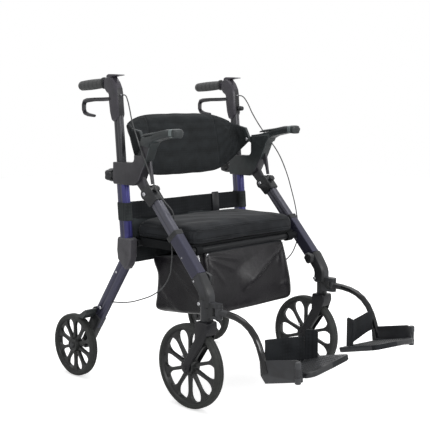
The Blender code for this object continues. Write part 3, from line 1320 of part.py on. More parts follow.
def heel_strap(side):
    """Strap behind the heel, from the arm to the post on the footplate."""
    name = side_name(side)
    carrier = "footrest_swing_axis_" + name
    outer = ARM_X - ARM_R - GAP
    rings = []
    for share in (0.0, 0.5, 1.0):
        x = side * (outer + (HEEL_STRAP_IN_X - outer) * share)
        y, low, high = (a + (b - a) * share for a, b in zip(HEEL_STRAP_OUT, HEEL_STRAP_IN))
        bow = 0.004 * math.sin(math.pi * share)
        rings.append([
            at(x, y + bow + depth * STRAP_T / 2, z) for depth, z in ((1, low), (1, high), (-1, high), (-1, low))
        ])
    return finish("heel_strap_" + name, skin(bmesh.new(), rings), "fabric", carrier)


def smooth_route(points, step):
    """Evenly spaced points of a smooth curve through the route's own points."""
    knots = [points[0]] + list(points) + [points[-1]]
    fine = []
    for i in range(1, len(knots) - 2):
        p0, p1, p2, p3 = knots[i - 1], knots[i], knots[i + 1], knots[i + 2]
        for part in range(24):
            t = part / 24.0
            fine.append(
                0.5 * ((2 * p1) + (p2 - p0) * t + (2 * p0 - 5 * p1 + 4 * p2 - p3) * t * t
                       + (3 * p1 - p0 - 3 * p2 + p3) * t * t * t)
            )
    fine.append(knots[-2])
    lengths = [0.0]
    for a, b in zip(fine, fine[1:]):
        lengths.append(lengths[-1] + (b - a).length)
    count = max(int(round(lengths[-1] / step)), 2)
    route = []
    j = 0
    for i in range(count + 1):
        goal = lengths[-1] * i / count
        while j < len(fine) - 2 and lengths[j + 1] < goal:
            j += 1
        span = lengths[j + 1] - lengths[j]
        share = (goal - lengths[j]) / span if span else 0.0
        route.append(fine[j].lerp(fine[j + 1], share))
    return route


def brake_cable(side):
    """Cable from the handle head, past the armrest, along the front leg, back to the rear leg."""
    name = side_name(side)
    points = CABLE_LEFT if side > 0 else CABLE_RIGHT
    route = smooth_route([at(*point) for point in points], CABLE_STEP)
    curve = bpy.data.curves.new("brake_cable_" + name, "CURVE")
    curve.dimensions = "3D"
    curve.bevel_depth = CABLE_R
    curve.bevel_resolution = 2
    curve.use_fill_caps = True
    curve.materials.append(material("cable_sheath"))
    spline = curve.splines.new("POLY")
    spline.points.add(len(route) - 1)
    for slot, point in zip(spline.points, route):
        slot.co = (*point, 1.0)
    made = bpy.data.objects.new("brake_cable_" + name, curve)
    bpy.context.collection.objects.link(made)
    return made


def main():
    start_empty()
    pivot("fold_axis", at(0.0, *FOLD_PIVOT))
    pivot("seat_axis", at(0.0, *SEAT_HINGE), "fold_axis")
    for side in (1, -1):
        name = side_name(side)
        pivot("handle_slide_axis_" + name, at(side * FRAME_X, upright_at(UPRIGHT_TOP[1]), UPRIGHT_TOP[1]))
        upright_tube(side)
        knee_sleeve(side)
        rear_leg(side)
        axle_bracket(side)
        brake_shoe(side)
        side_housing(side)
        armrest_pad(side)
        height_knob(side)
        inner_tube(side)
        handle_head(side)
        hand_grip(side)
        brake_lever(side)
        front_leg(side)
        leg_joint(side)
        lock_knob(side)
        lower_leg(side)
        clamp_knob(side)
        fork(side)
        rear_carrier = pivot("rear_wheel_axis_" + name, at(side * REAR_WHEEL_X, 0.0, REAR_WHEEL_R))
        wheel(
            "rear", side, side * REAR_WHEEL_X, (0.0, REAR_WHEEL_R), REAR_WHEEL_R, REAR_WHEEL_W,
            REAR_HUB_W, REAR_HUB_R, rear_carrier, WHEEL_SIDES,
        )
        front_carrier = pivot(
            "front_wheel_axis_" + name, at(side * FRONT_WHEEL_X, FRONT_AXLE_Y, FRONT_WHEEL_R), "caster_axis_" + name,
        )
        wheel(
            "front", side, side * FRONT_WHEEL_X, (FRONT_AXLE_Y, FRONT_WHEEL_R), FRONT_WHEEL_R, FRONT_WHEEL_W,
            FRONT_HUB_W, FRONT_HUB_R, front_carrier, WHEEL_SIDES,
        )
        footrest_arm(side)
        footplate(side)
        heel_strap(side)
        brake_cable(side)
    head_knob()
    rear_rail()
    back_strap()
    back_pad()
    front_rail()
    seat_board()
    seat_cushion()
    bag()


main()
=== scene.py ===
"""Rollator with a padded back band, seat, bag and footrests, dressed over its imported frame.

Everything is in metres, +Z up. The seated person faces -Y and the walking user stands at +Y.
"""

import json
import math

import bpy
import numpy as np
from mathutils import Matrix, Vector


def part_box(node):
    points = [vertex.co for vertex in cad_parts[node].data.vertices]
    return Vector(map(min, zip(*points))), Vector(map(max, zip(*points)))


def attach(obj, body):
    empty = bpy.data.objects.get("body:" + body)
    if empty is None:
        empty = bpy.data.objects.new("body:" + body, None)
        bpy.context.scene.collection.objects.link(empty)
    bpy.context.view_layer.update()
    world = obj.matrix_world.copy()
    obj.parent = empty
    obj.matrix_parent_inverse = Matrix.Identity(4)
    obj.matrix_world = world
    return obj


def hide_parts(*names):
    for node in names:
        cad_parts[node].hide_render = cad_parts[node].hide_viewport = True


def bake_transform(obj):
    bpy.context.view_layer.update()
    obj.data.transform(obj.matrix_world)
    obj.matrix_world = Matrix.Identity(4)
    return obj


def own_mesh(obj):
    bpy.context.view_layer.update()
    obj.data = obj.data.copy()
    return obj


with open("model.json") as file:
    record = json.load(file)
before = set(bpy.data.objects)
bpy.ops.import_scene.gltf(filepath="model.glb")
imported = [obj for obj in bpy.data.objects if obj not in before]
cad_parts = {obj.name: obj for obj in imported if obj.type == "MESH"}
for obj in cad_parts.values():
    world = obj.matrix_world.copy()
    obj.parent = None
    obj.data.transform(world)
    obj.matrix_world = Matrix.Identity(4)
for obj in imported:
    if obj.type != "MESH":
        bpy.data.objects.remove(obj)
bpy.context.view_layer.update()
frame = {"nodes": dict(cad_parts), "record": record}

bl_info = {
    "name": "Rollator with footrests",
    "version": (1, 0, 0),
    "blender": (4, 5, 0),
    "location": "View3D > Sidebar > Rollator",
    "description": "Builds the looks of a folding rollator with seat, bag and footrests",
    "category": "Object",
}

SIDES = (("left", 1.0), ("right", -1.0))

# Where the frame's own pieces are, taken from the frame
SEAT_LOW, SEAT_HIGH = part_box("seat_cushion")
AXLE_LOW, AXLE_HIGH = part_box("rear_tyre_left")
REAR_AXLE_Y = (AXLE_LOW[1] + AXLE_HIGH[1]) / 2.0
BODY_OF = {node: body for body, nodes in frame["record"]["behaviour"]["bodies"].items() for node in nodes}

# Places in the side view, as y from the rear axle and z from the floor
GRIP_START = (-0.1145, 0.9393)
GRIP_END = (0.0120, 0.9310)
LEVER_ROOT = (-0.1520, 0.8910)
FOLD_PIVOT = (-0.3110, 0.6105)
BACK_PIVOT = (-0.2620, 0.7570)

# Places across, the uprights' lean in y per z, and other single values
UPRIGHT_X = 0.257
UPRIGHT_LEAN = 0.0225 / 0.2730
STRAP_LOW, STRAP_HIGH = 0.521, 0.577
HEEL_ARM_X, HEEL_POST_X = 0.2502, 0.1028
ARM_X = 0.26125
CUSHION_HALF = 0.2308
BAND_SEAM_X = 0.1480
CABLE_RADIUS = 0.0019
CABLE_SPLITS = (0.76, 0.42)
SPOKES = 10

# The camera fitted to the photo: its place, its turn in degrees and its lens in millimetres
CAMERA_PLACE = (-2.0186, -1.9118, 0.8853)
CAMERA_TURN = (82.782, 0.0, -45.422)
CAMERA_LENS = 75.57

# The brake cables' routes, as x, y from the rear axle and z
CABLE_LEFT = (
    (0.2615, -0.1885, 0.903), (0.265, -0.205, 0.9005), (0.268, -0.2200, 0.886), (0.277, -0.243, 0.840),
    (0.2835, -0.276, 0.793), (0.2850, -0.310, 0.757), (0.2850, -0.350, 0.714), (0.281, -0.389, 0.655),
    (0.2755, -0.418, 0.595), (0.2738, -0.440, 0.530), (0.2738, -0.449, 0.478), (0.2738, -0.4495, 0.440),
    (0.268, -0.4465, 0.415), (0.262, -0.437, 0.388), (0.258, -0.415, 0.362), (0.257, -0.345, 0.318),
    (0.257, -0.267, 0.283), (0.257, -0.200, 0.264), (0.257, -0.1295, 0.2545),
)
CABLE_RIGHT = (
    (-0.2530, -0.1885, 0.902), (-0.2520, -0.2040, 0.9010), (-0.2505, -0.2125, 0.886),
    (-0.2520, -0.2218, 0.8646), (-0.2570, -0.2398, 0.8238), (-0.2635, -0.2670, 0.780),
    (-0.2785, -0.2995, 0.750), (-0.2795, -0.3213, 0.7128), (-0.2800, -0.3450, 0.6705),
    (-0.2765, -0.3600, 0.640), (-0.2720, -0.3770, 0.612), (-0.2600, -0.3930, 0.588),
    (-0.2450, -0.4030, 0.563), (-0.2380, -0.4000, 0.535), (-0.2400, -0.392, 0.500), (-0.247, -0.402, 0.440),
    (-0.254, -0.403, 0.385), (-0.257, -0.385, 0.350), (-0.257, -0.341, 0.315), (-0.257, -0.267, 0.283),
    (-0.257, -0.200, 0.264), (-0.257, -0.1295, 0.2545),
)


def at(x, y, z):
    """A place given from the rear axle, in the frame's own coordinates."""
    return Vector((x, y + REAR_AXLE_Y, z))


def upright_at(z):
    """The y of the leaning uprights' axis at a height, from the rear axle."""
    return -0.2110 + (z - 0.4250) * UPRIGHT_LEAN


def length(name, about, value, low, high):
    return bpy.props.FloatProperty(
        name=name, description=about, default=value, min=low, max=high, subtype="DISTANCE", unit="LENGTH",
    )


def shade(name, about, value):
    return bpy.props.StringProperty(name=name, description=about + ", as sRGB hex", default=value)


class RollatorSettings(bpy.types.PropertyGroup):
    """Sizes and colours that a user would change."""

    edge_round: length("Edge rounding", "Radius on the edges of the mouldings", 0.0012, 0.0002, 0.004)
    voxel: length("Cloth grid", "Cells that the padded cloth is solved on", 0.0055, 0.004, 0.012)
    tube_colour: shade("Tube colour", "Anodised extrusions", "3A3A48")
    plastic_colour: shade("Moulding colour", "Black mouldings", "222325")
    armrest_colour: shade("Armrest colour", "Armrest mouldings", "2A2E2F")
    cloth_colour: shade("Cloth colour", "Back band and its stitches", "1F2123")
    bag_colour: shade("Bag colour", "Coated cloth of the bag", "131215")
    tyre_colour: shade("Tyre colour", "Solid tyres", "2B2C2B")


def settings():
    return bpy.context.scene.rollator


# Colours and nodes

def colour(code):
    """An sRGB hex value as linear red, green, blue and alpha."""
    values = [int(code[i:i + 2], 16) / 255.0 for i in (0, 2, 4)]
    values = [v / 12.92 if v <= 0.04045 else ((v + 0.055) / 1.055) ** 2.4 for v in values]
    return (values[0], values[1], values[2], 1.0)


def lighter(code, factor):
    """The same colour with its brightness multiplied."""
    values = [min(255, max(0, round(int(code[i:i + 2], 16) * factor))) for i in (0, 2, 4)]
    return "".join("%02X" % v for v in values)


def add_node(tree, kind, links=(), values=(), **parts):
    """Add a node, set its parts and input values, and link (output, input) pairs into it."""
    node = tree.nodes.new(kind)
    for key, value in parts.items():
        setattr(node, key, value)
    for key, value in values:
        node.inputs[key].default_value = value
    for output, key in links:
        tree.links.new(output, node.inputs[key])
    return node


def new_material(name, base, roughness, metallic=0.0, ior=1.5, gloss=0.5):
    """An empty material with its shader and object coordinates."""
    made = bpy.data.materials.new(name)
    made.use_nodes = True
    tree = made.node_tree
    shader = tree.nodes["Principled BSDF"]
    shader.inputs["Base Color"].default_value = colour(base)
    shader.inputs["Roughness"].default_value = roughness
    shader.inputs["Metallic"].default_value = metallic
    if not metallic:
        shader.inputs["IOR"].default_value = ior
        shader.inputs["Specular IOR Level"].default_value = gloss
    place = add_node(tree, "ShaderNodeTexCoord").outputs["Object"]
    return made, tree, shader, place


def ramp(tree, source, stops):
    """A colour ramp with (position, hex) stops."""
    node = add_node(tree, "ShaderNodeValToRGB", [(source, "Fac")])
    elements = node.color_ramp.elements
    while len(elements) < len(stops):
        elements.new(0.5)
    for element, (position, code) in zip(elements, stops):
        element.position = position
        element.color = colour(code)
    return node.outputs["Color"]


def spread(tree, source, low, high):
    """A number between two values that follows a pattern."""
    node = add_node(
        tree, "ShaderNodeMapRange", [(source, "Value")],
        [("From Min", 0.25), ("From Max", 0.75), ("To Min", low), ("To Max", high)],
    )
    return node.outputs["Result"]


def raised(tree, shader, height, distance, strength=1.0):
    """Bump from a height pattern, in metres of relief."""
    node = add_node(
        tree, "ShaderNodeBump", [(height, "Height")], [("Distance", distance), ("Strength", strength)],
    )
    tree.links.new(node.outputs["Normal"], shader.inputs["Normal"])
    return node


def noise(tree, place, scale, detail=3.0, roughness=0.5, stretch=None):
    """Noise whose cells are about 1/scale metres wide, drawn out along an axis if asked."""
    if stretch:
        drawn = add_node(tree, "ShaderNodeMapping", [(place, "Vector")], [("Scale", stretch)])
        place = drawn.outputs["Vector"]
    node = add_node(
        tree, "ShaderNodeTexNoise", [(place, "Vector")],
        [("Scale", scale), ("Detail", detail), ("Roughness", roughness)],
    )
    return node.outputs["Fac"]


def worn_and_highlit_edges(tree, base, bright, amount):
    """Base colour that turns paler on convex edges: partly wear from rubbing, as plastic and paint show, and
    partly a painted highlight.
    """
    geometry = add_node(tree, "ShaderNodeNewGeometry")
    edge = add_node(
        tree, "ShaderNodeMapRange", [(geometry.outputs["Pointiness"], "Value")],
        [("From Min", 0.52), ("From Max", 0.60), ("To Min", 0.0), ("To Max", amount)],
    )
    mix = add_node(
        tree, "ShaderNodeMix", [(edge.outputs["Result"], 0), (base, 6)], data_type="RGBA",
    )
    mix.inputs[7].default_value = colour(bright)
    return mix.outputs[2]


# Materials, each named for what it is

DRAWN_LINES = (900.0, 2.0, 0.6, (1.0, 0.03, 0.03))


def tone(base, value):
    """A hex colour as it is, or the base colour made lighter by a factor."""
    return value if isinstance(value, str) else lighter(base, value)


def chosen_colour(base):
    """The hex value set under that name, or the value itself."""
    return getattr(settings(), base, base)


def surface(name, base, roughness, metallic, ior, gloss, pattern, fine, tint, edge_wear_and_highlight, shine, relief):
    """A material whose tint follows one noise, and its roughness and relief another.

    Tint is position and tone twice, the edge values the tone and amount of the paler convex edges, which are
    wear from rubbing and a painted highlight, shine the lowest and highest roughness, and relief its depth in
    metres and its strength.
    """
    base = chosen_colour(base)
    made, tree, shader, place = new_material(name, base, roughness, metallic, ior, gloss)
    clouds = noise(tree, place, *pattern)
    cells = noise(tree, place, *fine) if fine else clouds
    low, dark, high, pale = tint
    output = ramp(tree, clouds, ((low, tone(base, dark)), (high, tone(base, pale))))
    # Paler convex edges: wear from rubbing and a painted highlight
    if edge_wear_and_highlight:
        output = worn_and_highlit_edges(tree, output, tone(base, edge_wear_and_highlight[0]), edge_wear_and_highlight[1])
    tree.links.new(output, shader.inputs["Base Color"])
    if shine:
        tree.links.new(spread(tree, cells, *shine), shader.inputs["Roughness"])
    if relief:
        raised(tree, shader, cells, *relief)
    return made


def moulding(name, base, grain=0.0009, roughness=0.32, gloss=0.32):
    """Injection moulded nylon: spark-eroded grain, faint flow clouds and paler convex edges, partly wear and
    partly painted highlight.
    """
    return surface(
        name, base, roughness, 0.0, 1.53, gloss, (38.0, 3.0), (1.0 / grain, 2.0, 0.6),
        (0.3, 0.90, 0.7, 1.12), (1.75, 0.55), (roughness - 0.06, roughness + 0.10), (0.00009, 0.7),
    )


def upright_tube():
    """Anodised upright, grey, with a painted blue violet reflection on its front; drawn lines, satin."""
    base = settings().tube_colour
    made, tree, shader, place = new_material("anodised_tube_with_painted_reflection", base, 0.34, 0.5)
    drawn = noise(tree, place, 900.0, 2.0, 0.6, (1.0, 1.0, 0.03))
    clouds = noise(tree, place, 24.0, 2.0, 0.5)
    grey = ramp(tree, drawn, ((0.35, lighter(base, 0.86)), (0.65, lighter(base, 1.16))))
    # Painted reflection: the front of the tube is blue violet, as its lit face looks
    blue = ramp(tree, clouds, ((0.35, "2B2A60"), (0.65, "3B3A7C")))
    spot = add_node(tree, "ShaderNodeSeparateXYZ", [(place, "Vector")])
    # How far a point lies behind the leaning axis
    lean = add_node(
        tree, "ShaderNodeMath", [(spot.outputs["Z"], 0), (spot.outputs["Y"], 2)],
        [(1, -UPRIGHT_LEAN)], operation="MULTIPLY_ADD",
    )
    axis = REAR_AXLE_Y + upright_at(0.0)
    back = add_node(
        tree, "ShaderNodeMapRange", [(lean.outputs["Value"], "Value")],
        [("From Min", axis - 0.0090), ("From Max", axis - 0.0055), ("To Min", 0.0), ("To Max", 1.0)],
    )
    mix = add_node(
        tree, "ShaderNodeMix", [(back.outputs["Result"], 0), (blue, 6), (grey, 7)], data_type="RGBA",
    )
    # Paler convex edges: wear from rubbing and a painted highlight
    tree.links.new(worn_and_highlit_edges(tree, mix.outputs[2], "5A5980", 0.4), shader.inputs["Base Color"])
    tree.links.new(spread(tree, drawn, 0.27, 0.42), shader.inputs["Roughness"])
    raised(tree, shader, drawn, 0.00004, 0.6)
    return made


def combined(tree, operation, first, second, factor=None):
    """Two patterns joined by a sum or product, or the first times a factor plus the second."""
    links = [(first, 0), (second, 1 if factor is None else 2)]
    values = () if factor is None else [(1, factor)]
    return add_node(tree, "ShaderNodeMath", links, values, operation=operation).outputs["Value"]


def bands(tree, place, direction, scale, distortion, detail, *values):
    """Sine bands across one axis."""
    return add_node(
        tree, "ShaderNodeTexWave", [(place, "Vector")],
        [("Scale", scale), ("Distortion", distortion), ("Detail", detail)] + list(values),
        wave_type="BANDS", bands_direction=direction, wave_profile="SIN",
    ).outputs["Fac"]


def grip_rubber():
    """Thermoplastic rubber of the grips: matt, with rings 20 mm apart, painted shade in the grooves between
    them and a fine grain.
    """
    made, tree, shader, place = new_material("grip_rubber", "404141", 0.60, 0.0, 1.5, 0.4)
    rings = bands(tree, place, "Y", 15.6, 0.0, 0.0)
    raised(tree, shader, combined(tree, "ADD", rings, noise(tree, place, 1100.0, 2.0)), 0.00012, 0.7)
    # Painted shade: the grooves between the rings are darker
    tint = ramp(tree, rings, ((0.1, "3B3C3C"), (0.6, "464747")))
    tree.links.new(tint, shader.inputs["Base Color"])
    return made


def woven_cloth(name, base, thread=0.0011, sheen=0.25, crease=0.0):
    """Plain woven polyester: over and under threads, coarse enough to show, with painted shade between the
    threads and sheen.
    """
    base = chosen_colour(base)
    made, tree, shader, place = new_material(name, base, 0.80, 0.0, 1.5, 0.16)
    across, up, along = [
        bands(tree, place, direction, 0.05 / thread, 0.6, 1.0, ("Detail Scale", 2.0)) for direction in "XZY"
    ]
    weave = combined(tree, "ADD", combined(tree, "MULTIPLY", across, up), along)
    clouds = noise(tree, place, 22.0, 4.0, 0.6)
    tint = ramp(tree, clouds, ((0.28, lighter(base, 0.84)), (0.74, lighter(base, 1.20))))
    # Painted shade: the weave's low places, between the threads, are darker
    dark = add_node(tree, "ShaderNodeMapRange", [(weave, "Value")], [("To Min", 0.72), ("To Max", 1.12)])
    shaded = add_node(
        tree, "ShaderNodeVectorMath", [(tint, 0), (dark.outputs["Result"], "Scale")], operation="SCALE",
    )
    tree.links.new(shaded.outputs["Vector"], shader.inputs["Base Color"])
    height = weave
    if crease:
        height = combined(tree, "MULTIPLY_ADD", noise(tree, place, 30.0, 2.0, 0.4), weave, crease)
    raised(tree, shader, height, 0.00010, 0.6)
    shader.inputs["Sheen Weight"].default_value = sheen
    shader.inputs["Sheen Roughness"].default_value = 0.4
    return made


def coated_nylon():
    """Coated nylon of the bag: fine weave under a slightly glossy face that wrinkles, with painted shade in
    the wrinkles' hollows and painted light on their crests.
    """
    base = settings().bag_colour
    made, tree, shader, place = new_material("coated_nylon", base, 0.27, 0.0, 1.5, 0.24)
    fine = noise(tree, place, 1500.0, 1.0)
    wrinkles = noise(tree, place, 24.0, 3.0, 0.5, (1.0, 1.0, 0.55))
    # Painted light and shade: paler on the wrinkles' crests, darker in their hollows
    tint = ramp(tree, wrinkles, ((0.3, lighter(base, 0.86)), (0.72, lighter(base, 1.25))))
    tree.links.new(tint, shader.inputs["Base Color"])
    tree.links.new(spread(tree, fine, 0.22, 0.32), shader.inputs["Roughness"])
    raised(tree, shader, combined(tree, "MULTIPLY_ADD", wrinkles, fine, 12.0), 0.00022, 0.8)
    return made


# Each finish: a slot name, which nothing here reads, its maker and what the maker is given
FINISHES = {
    # Anodised aluminium: drawn lines along the tube, fine sparkle and a soft satin gloss
    "tube": ("frame_paint", surface, (
        "anodised_aluminium", "tube_colour", 0.34, 0.55, 1.5, 0.5, (1400.0, 1.0), DRAWN_LINES,
        (0.35, 0.86, 0.65, 1.16), (1.6, 0.5), (0.27, 0.42), (0.00004, 0.6),
    )),
    "bright_tube": ("frame_paint", surface, (
        "pale_anodised_tube", "3C3C46", 0.34, 0.35, 1.5, 0.5, DRAWN_LINES, None,
        (0.3, "36363F", 0.7, "43434D"), ("6A6A74", 0.5), (0.30, 0.42), (0.00004, 0.5),
    )),
    "black_tube": ("frame_paint", surface, (
        "black_anodised_tube", "2E2E31", 0.32, 0.5, 1.5, 0.5, DRAWN_LINES, None,
        (0.3, "29292C", 0.7, "353538"), ("56565A", 0.5), (0.26, 0.40), (0.00003, 0.5),
    )),
    "upright": ("frame_paint", upright_tube, ()),
    # Solid polyurethane: matt, dusty on the tread and slightly scuffed
    "tyre": ("tyre", surface, (
        "solid_tyre", "tyre_colour", 0.55, 0.0, 1.5, 0.35, (60.0, 4.0, 0.6), (1300.0, 2.0),
        (0.30, 0.86, 0.72, 1.22), None, (0.58, 0.78), (0.00007, 0.7),
    )),
    # Bolts and rivets: bright, with a cloudy passivated film
    "steel": ("black_steel", surface, (
        "zinc_plated_steel", "B9B9BC", 0.30, 1.0, 1.5, 0.5, (180.0, 3.0), None,
        (0.3, "A5A6AB", 0.7, "C9C9CB"), None, (0.22, 0.40), None,
    )),
    # Steel cross tubes: orange peel of about 1.5 mm
    "powder": ("black_steel", surface, (
        "black_powder_coat", "0F1011", 0.36, 0.0, 1.5, 0.12, (650.0, 1.0), None,
        (0.3, "0D0E0F", 0.7, "131415"), ("3A3B3E", 0.4), None, (0.00006, 0.6),
    )),
    # Bent footrest tubes: dark, with sharp bright streaks along the bend
    "gloss_steel": ("black_steel", surface, (
        "gloss_black_enamel", "0E0E10", 0.13, 0.0, 1.5, 0.40, (420.0, 1.0), None,
        (0.3, "0C0C0E", 0.7, "131315"), ("2A2B2D", 0.3), (0.11, 0.17), (0.00003, 0.4),
    )),
    # Extruded vinyl, with a faint wave from the coiled wire inside
    "sheath": ("cable_sheath", surface, (
        "cable_sheath", "505152", 0.36, 0.0, 1.52, 0.4, (500.0, 1.0), None,
        (0.3, "343536", 0.7, "464748"), None, None, (0.00005, 0.5),
    )),
    "plastic": ("black_plastic", moulding, ("moulded_nylon", "plastic_colour")),
    "head": ("black_plastic", moulding, ("head_moulding", "38363C", 0.0010, 0.28)),
    "front_face": ("black_plastic", moulding, ("black_insert", "29292B", 0.0010, 0.30, 0.25)),
    "knee": ("black_plastic", moulding, ("knee_moulding", "424145", 0.0010, 0.30)),
    "fork": ("black_plastic", moulding, ("fork_moulding", "19191C", 0.0010, 0.28, 0.26)),
    "board": ("black_plastic", moulding, ("board_moulding", "121314", 0.0012, 0.62, 0.06)),
    "guard": ("black_plastic", moulding, ("guard_moulding", "2C2D2F", 0.0010, 0.34)),
    "wheel": ("wheel_plastic", moulding, ("wheel_moulding", "202121", 0.0010, 0.34)),
    "housing": ("armrest_plastic", moulding, ("housing_moulding", "302F33", 0.0010, 0.32)),
    "armrest": ("armrest_plastic", moulding, ("armrest_moulding", "armrest_colour", 0.0011, 0.36)),
    # Painted highlight on the arm cover's nose
    "painted_highlight_band": ("armrest_plastic", moulding, ("pale_inlay", "4C5252", 0.0012, 0.40)),
    "grip": ("grip_rubber", grip_rubber, ()),
    "cloth": ("fabric", woven_cloth, ("woven_polyester", "cloth_colour", 0.0011, 0.05, 2.0)),
    "seat_cloth": ("fabric", woven_cloth, ("seat_cloth", "222426", 0.0011, 0.07, 1.2)),
    # The seat cloth made lighter for the hanging panel, which sits in shade: painted light
    "panel_cloth": ("fabric", woven_cloth, ("panel_cloth", "2D3032", 0.0011, 0.07, 1.2)),
    "webbing": ("fabric", woven_cloth, ("strap_webbing", "1E2022", 0.0016, 0.06)),
    "loop": ("fabric", woven_cloth, ("loop_webbing", "2D3031", 0.0016, 0.06)),
    "bag": ("bag_nylon", coated_nylon, ()),
}
MATERIALS = {}


def finish_of(name):
    """The shared material of that name, made the first time it is asked for."""
    if name not in MATERIALS:
        slot, maker, values = FINISHES[name]
        MATERIALS[name] = maker(*values)
    return MATERIALS[name]


# Modelling helpers

def only(obj):
    """Select one object and nothing else."""
    bpy.ops.object.select_all(action="DESELECT")
    obj.select_set(True)
    bpy.context.view_layer.objects.active = obj
    return obj


def edited(obj, *steps):
    """Run edit mode operators on the whole mesh."""
    only(obj)
    bpy.ops.object.mode_set(mode="EDIT")
    bpy.ops.mesh.select_all(action="SELECT")
    for operator, values in steps:
        operator(**values)
    bpy.ops.object.mode_set(mode="OBJECT")
    return obj


def welded(obj):
    """Merge doubled points and turn all faces outward."""
    return edited(
        obj, (bpy.ops.mesh.remove_doubles, {"threshold": 0.00001}),
        (bpy.ops.mesh.normals_make_consistent, {"inside": False}),
    )


def changed(obj, kind, **values):
    """Add a modifier, set its values and apply it."""
    change = obj.modifiers.new(kind.lower(), kind)
    for key, value in values.items():
        setattr(change, key, value)
    only(obj)
    bpy.ops.object.modifier_apply(modifier=change.name)
    return obj


def bevelled(obj, width, segments, angle):
    return changed(
        obj, "BEVEL", width=width, segments=segments, limit_method="ANGLE", angle_limit=math.radians(angle),
    )


def subdivided(obj, levels=1):
    return changed(obj, "SUBSURF", levels=levels, render_levels=levels)


def smooth(obj, angle=40.0):
    only(obj)
    bpy.ops.object.shade_smooth_by_angle(angle=math.radians(angle))
    return obj


def linked(name, mesh):
    """A new object with a mesh or curve of its own."""
    made = bpy.data.objects.new(name, mesh)
    bpy.context.collection.objects.link(made)
    return made


def copy_of(node, name):
    """A merged copy of a frame node's mesh, with its flat faces whole again."""
    made = linked(name, frame["nodes"][node].data.copy())
    made.data.materials.clear()
    return edited(
        made, (bpy.ops.mesh.remove_doubles, {"threshold": 0.00001}),
        (bpy.ops.mesh.dissolve_limited, {"angle_limit": math.radians(0.5)}),
    )


def moved_copy(obj, name, change):
    """A copy with its own mesh, moved by a matrix."""
    made = linked(name, obj.data.copy())
    made.data.transform(change)
    return made


def dress(obj, body, finish, *nodes):
    """Give a piece its material, its body and the frame nodes that it stands for."""
    obj.data.materials.clear()
    obj.data.materials.append(finish_of(finish))
    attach(obj, body)
    if nodes:
        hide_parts(*nodes)
    return obj


def dress_faces(obj, finish, chosen):
    """Give the faces that a test of their middle and normal picks a second finish."""
    obj.data.materials.append(finish_of(finish))
    for face in obj.data.polygons:
        if chosen(face.center, face.normal):
            face.material_index = 1


def rounded(node, finish, width=None, segments=2, angle=33.0):
    """The node's own form with rounded edges."""
    obj = bevelled(copy_of(node, node + ".form"), width or settings().edge_round, segments, angle)
    return dress(smooth(obj, 42.0), BODY_OF[node], finish, node)


def turned_piece(name, profile, centre, axis, steps=48):
    """A round piece spun from (distance along the axis, radius) pairs, closed on its axis."""
    line = Vector(axis).normalized()
    out = line.orthogonal().normalized()
    points = [Vector(centre) + line * along + out * radius for along, radius in profile]
    mesh = bpy.data.meshes.new(name)
    mesh.from_pydata(points, [(i, i + 1) for i in range(len(points) - 1)], [])
    obj = edited(
        linked(name, mesh),
        (bpy.ops.mesh.spin, {"steps": steps, "angle": 2 * math.pi, "center": centre, "axis": line}),
        (bpy.ops.mesh.select_all, {"action": "SELECT"}),
        (bpy.ops.mesh.remove_doubles, {"threshold": 0.00002}),
        (bpy.ops.mesh.normals_make_consistent, {"inside": False}),
    )
    return smooth(obj, 35.0)


def ring_piece(name, profile, centre, axis, steps=96):
    """A ring spun from a closed (distance along the axis, radius) outline."""
    return turned_piece(name, list(profile) + [profile[0]], centre, axis, steps)


def mirrored(profile):
    """A profile and its mirror image, from end to end."""
    return list(profile) + [(-a, r) for a, r in reversed(profile)]


def arc(centre, radius, start, end, steps):
    """(a, b) points of an arc, angles in degrees."""
    points = []
    for step in range(steps + 1):
        turn = math.radians(start + (end - start) * step / steps)
        points.append((centre[0] + radius * math.cos(turn), centre[1] + radius * math.sin(turn)))
    return points


def numbers(source, key):
    values = np.empty(len(source) * 3)
    source.foreach_get(key, values)
    return values.reshape(-1, 3)


def vertices_of(obj):
    return numbers(obj.data.vertices, "co")


def normals_of(obj):
    return numbers(obj.data.vertex_normals, "vector")


def set_vertices(obj, values):
    obj.data.vertices.foreach_set("co", values.ravel())
    obj.data.update()


def rippled(obj, height):
    """Move a mesh's points along their normals by a height field."""
    points = vertices_of(obj)
    set_vertices(obj, points + normals_of(obj) * height(points)[:, None])


def pressed_line(obj, distance, width, depth):
    """Sink a sewn line into a padded piece, where a distance field is near nothing."""
    rippled(obj, lambda points: -np.exp(-(distance(points) / width) ** 2) * depth)


def scaled_about_axis(obj, x, across, deep):
    """Scale a leaning piece about its own axis in the side view, and about a place across."""
    points = vertices_of(obj)
    slope, start = np.polyfit(points[:, 2], points[:, 1], 1)
    middle = slope * points[:, 2] + start
    points[:, 1] = middle + (points[:, 1] - middle) * deep
    points[:, 0] = x + (points[:, 0] - x) * across
    set_vertices(obj, points)


CLOTH_FRAMES = 20
CLOTH = {
    "quality": 5, "mass": 0.3, "tension_stiffness": 15.0, "compression_stiffness": 15.0,
    "bending_stiffness": 2.0, "use_pressure": True,
}


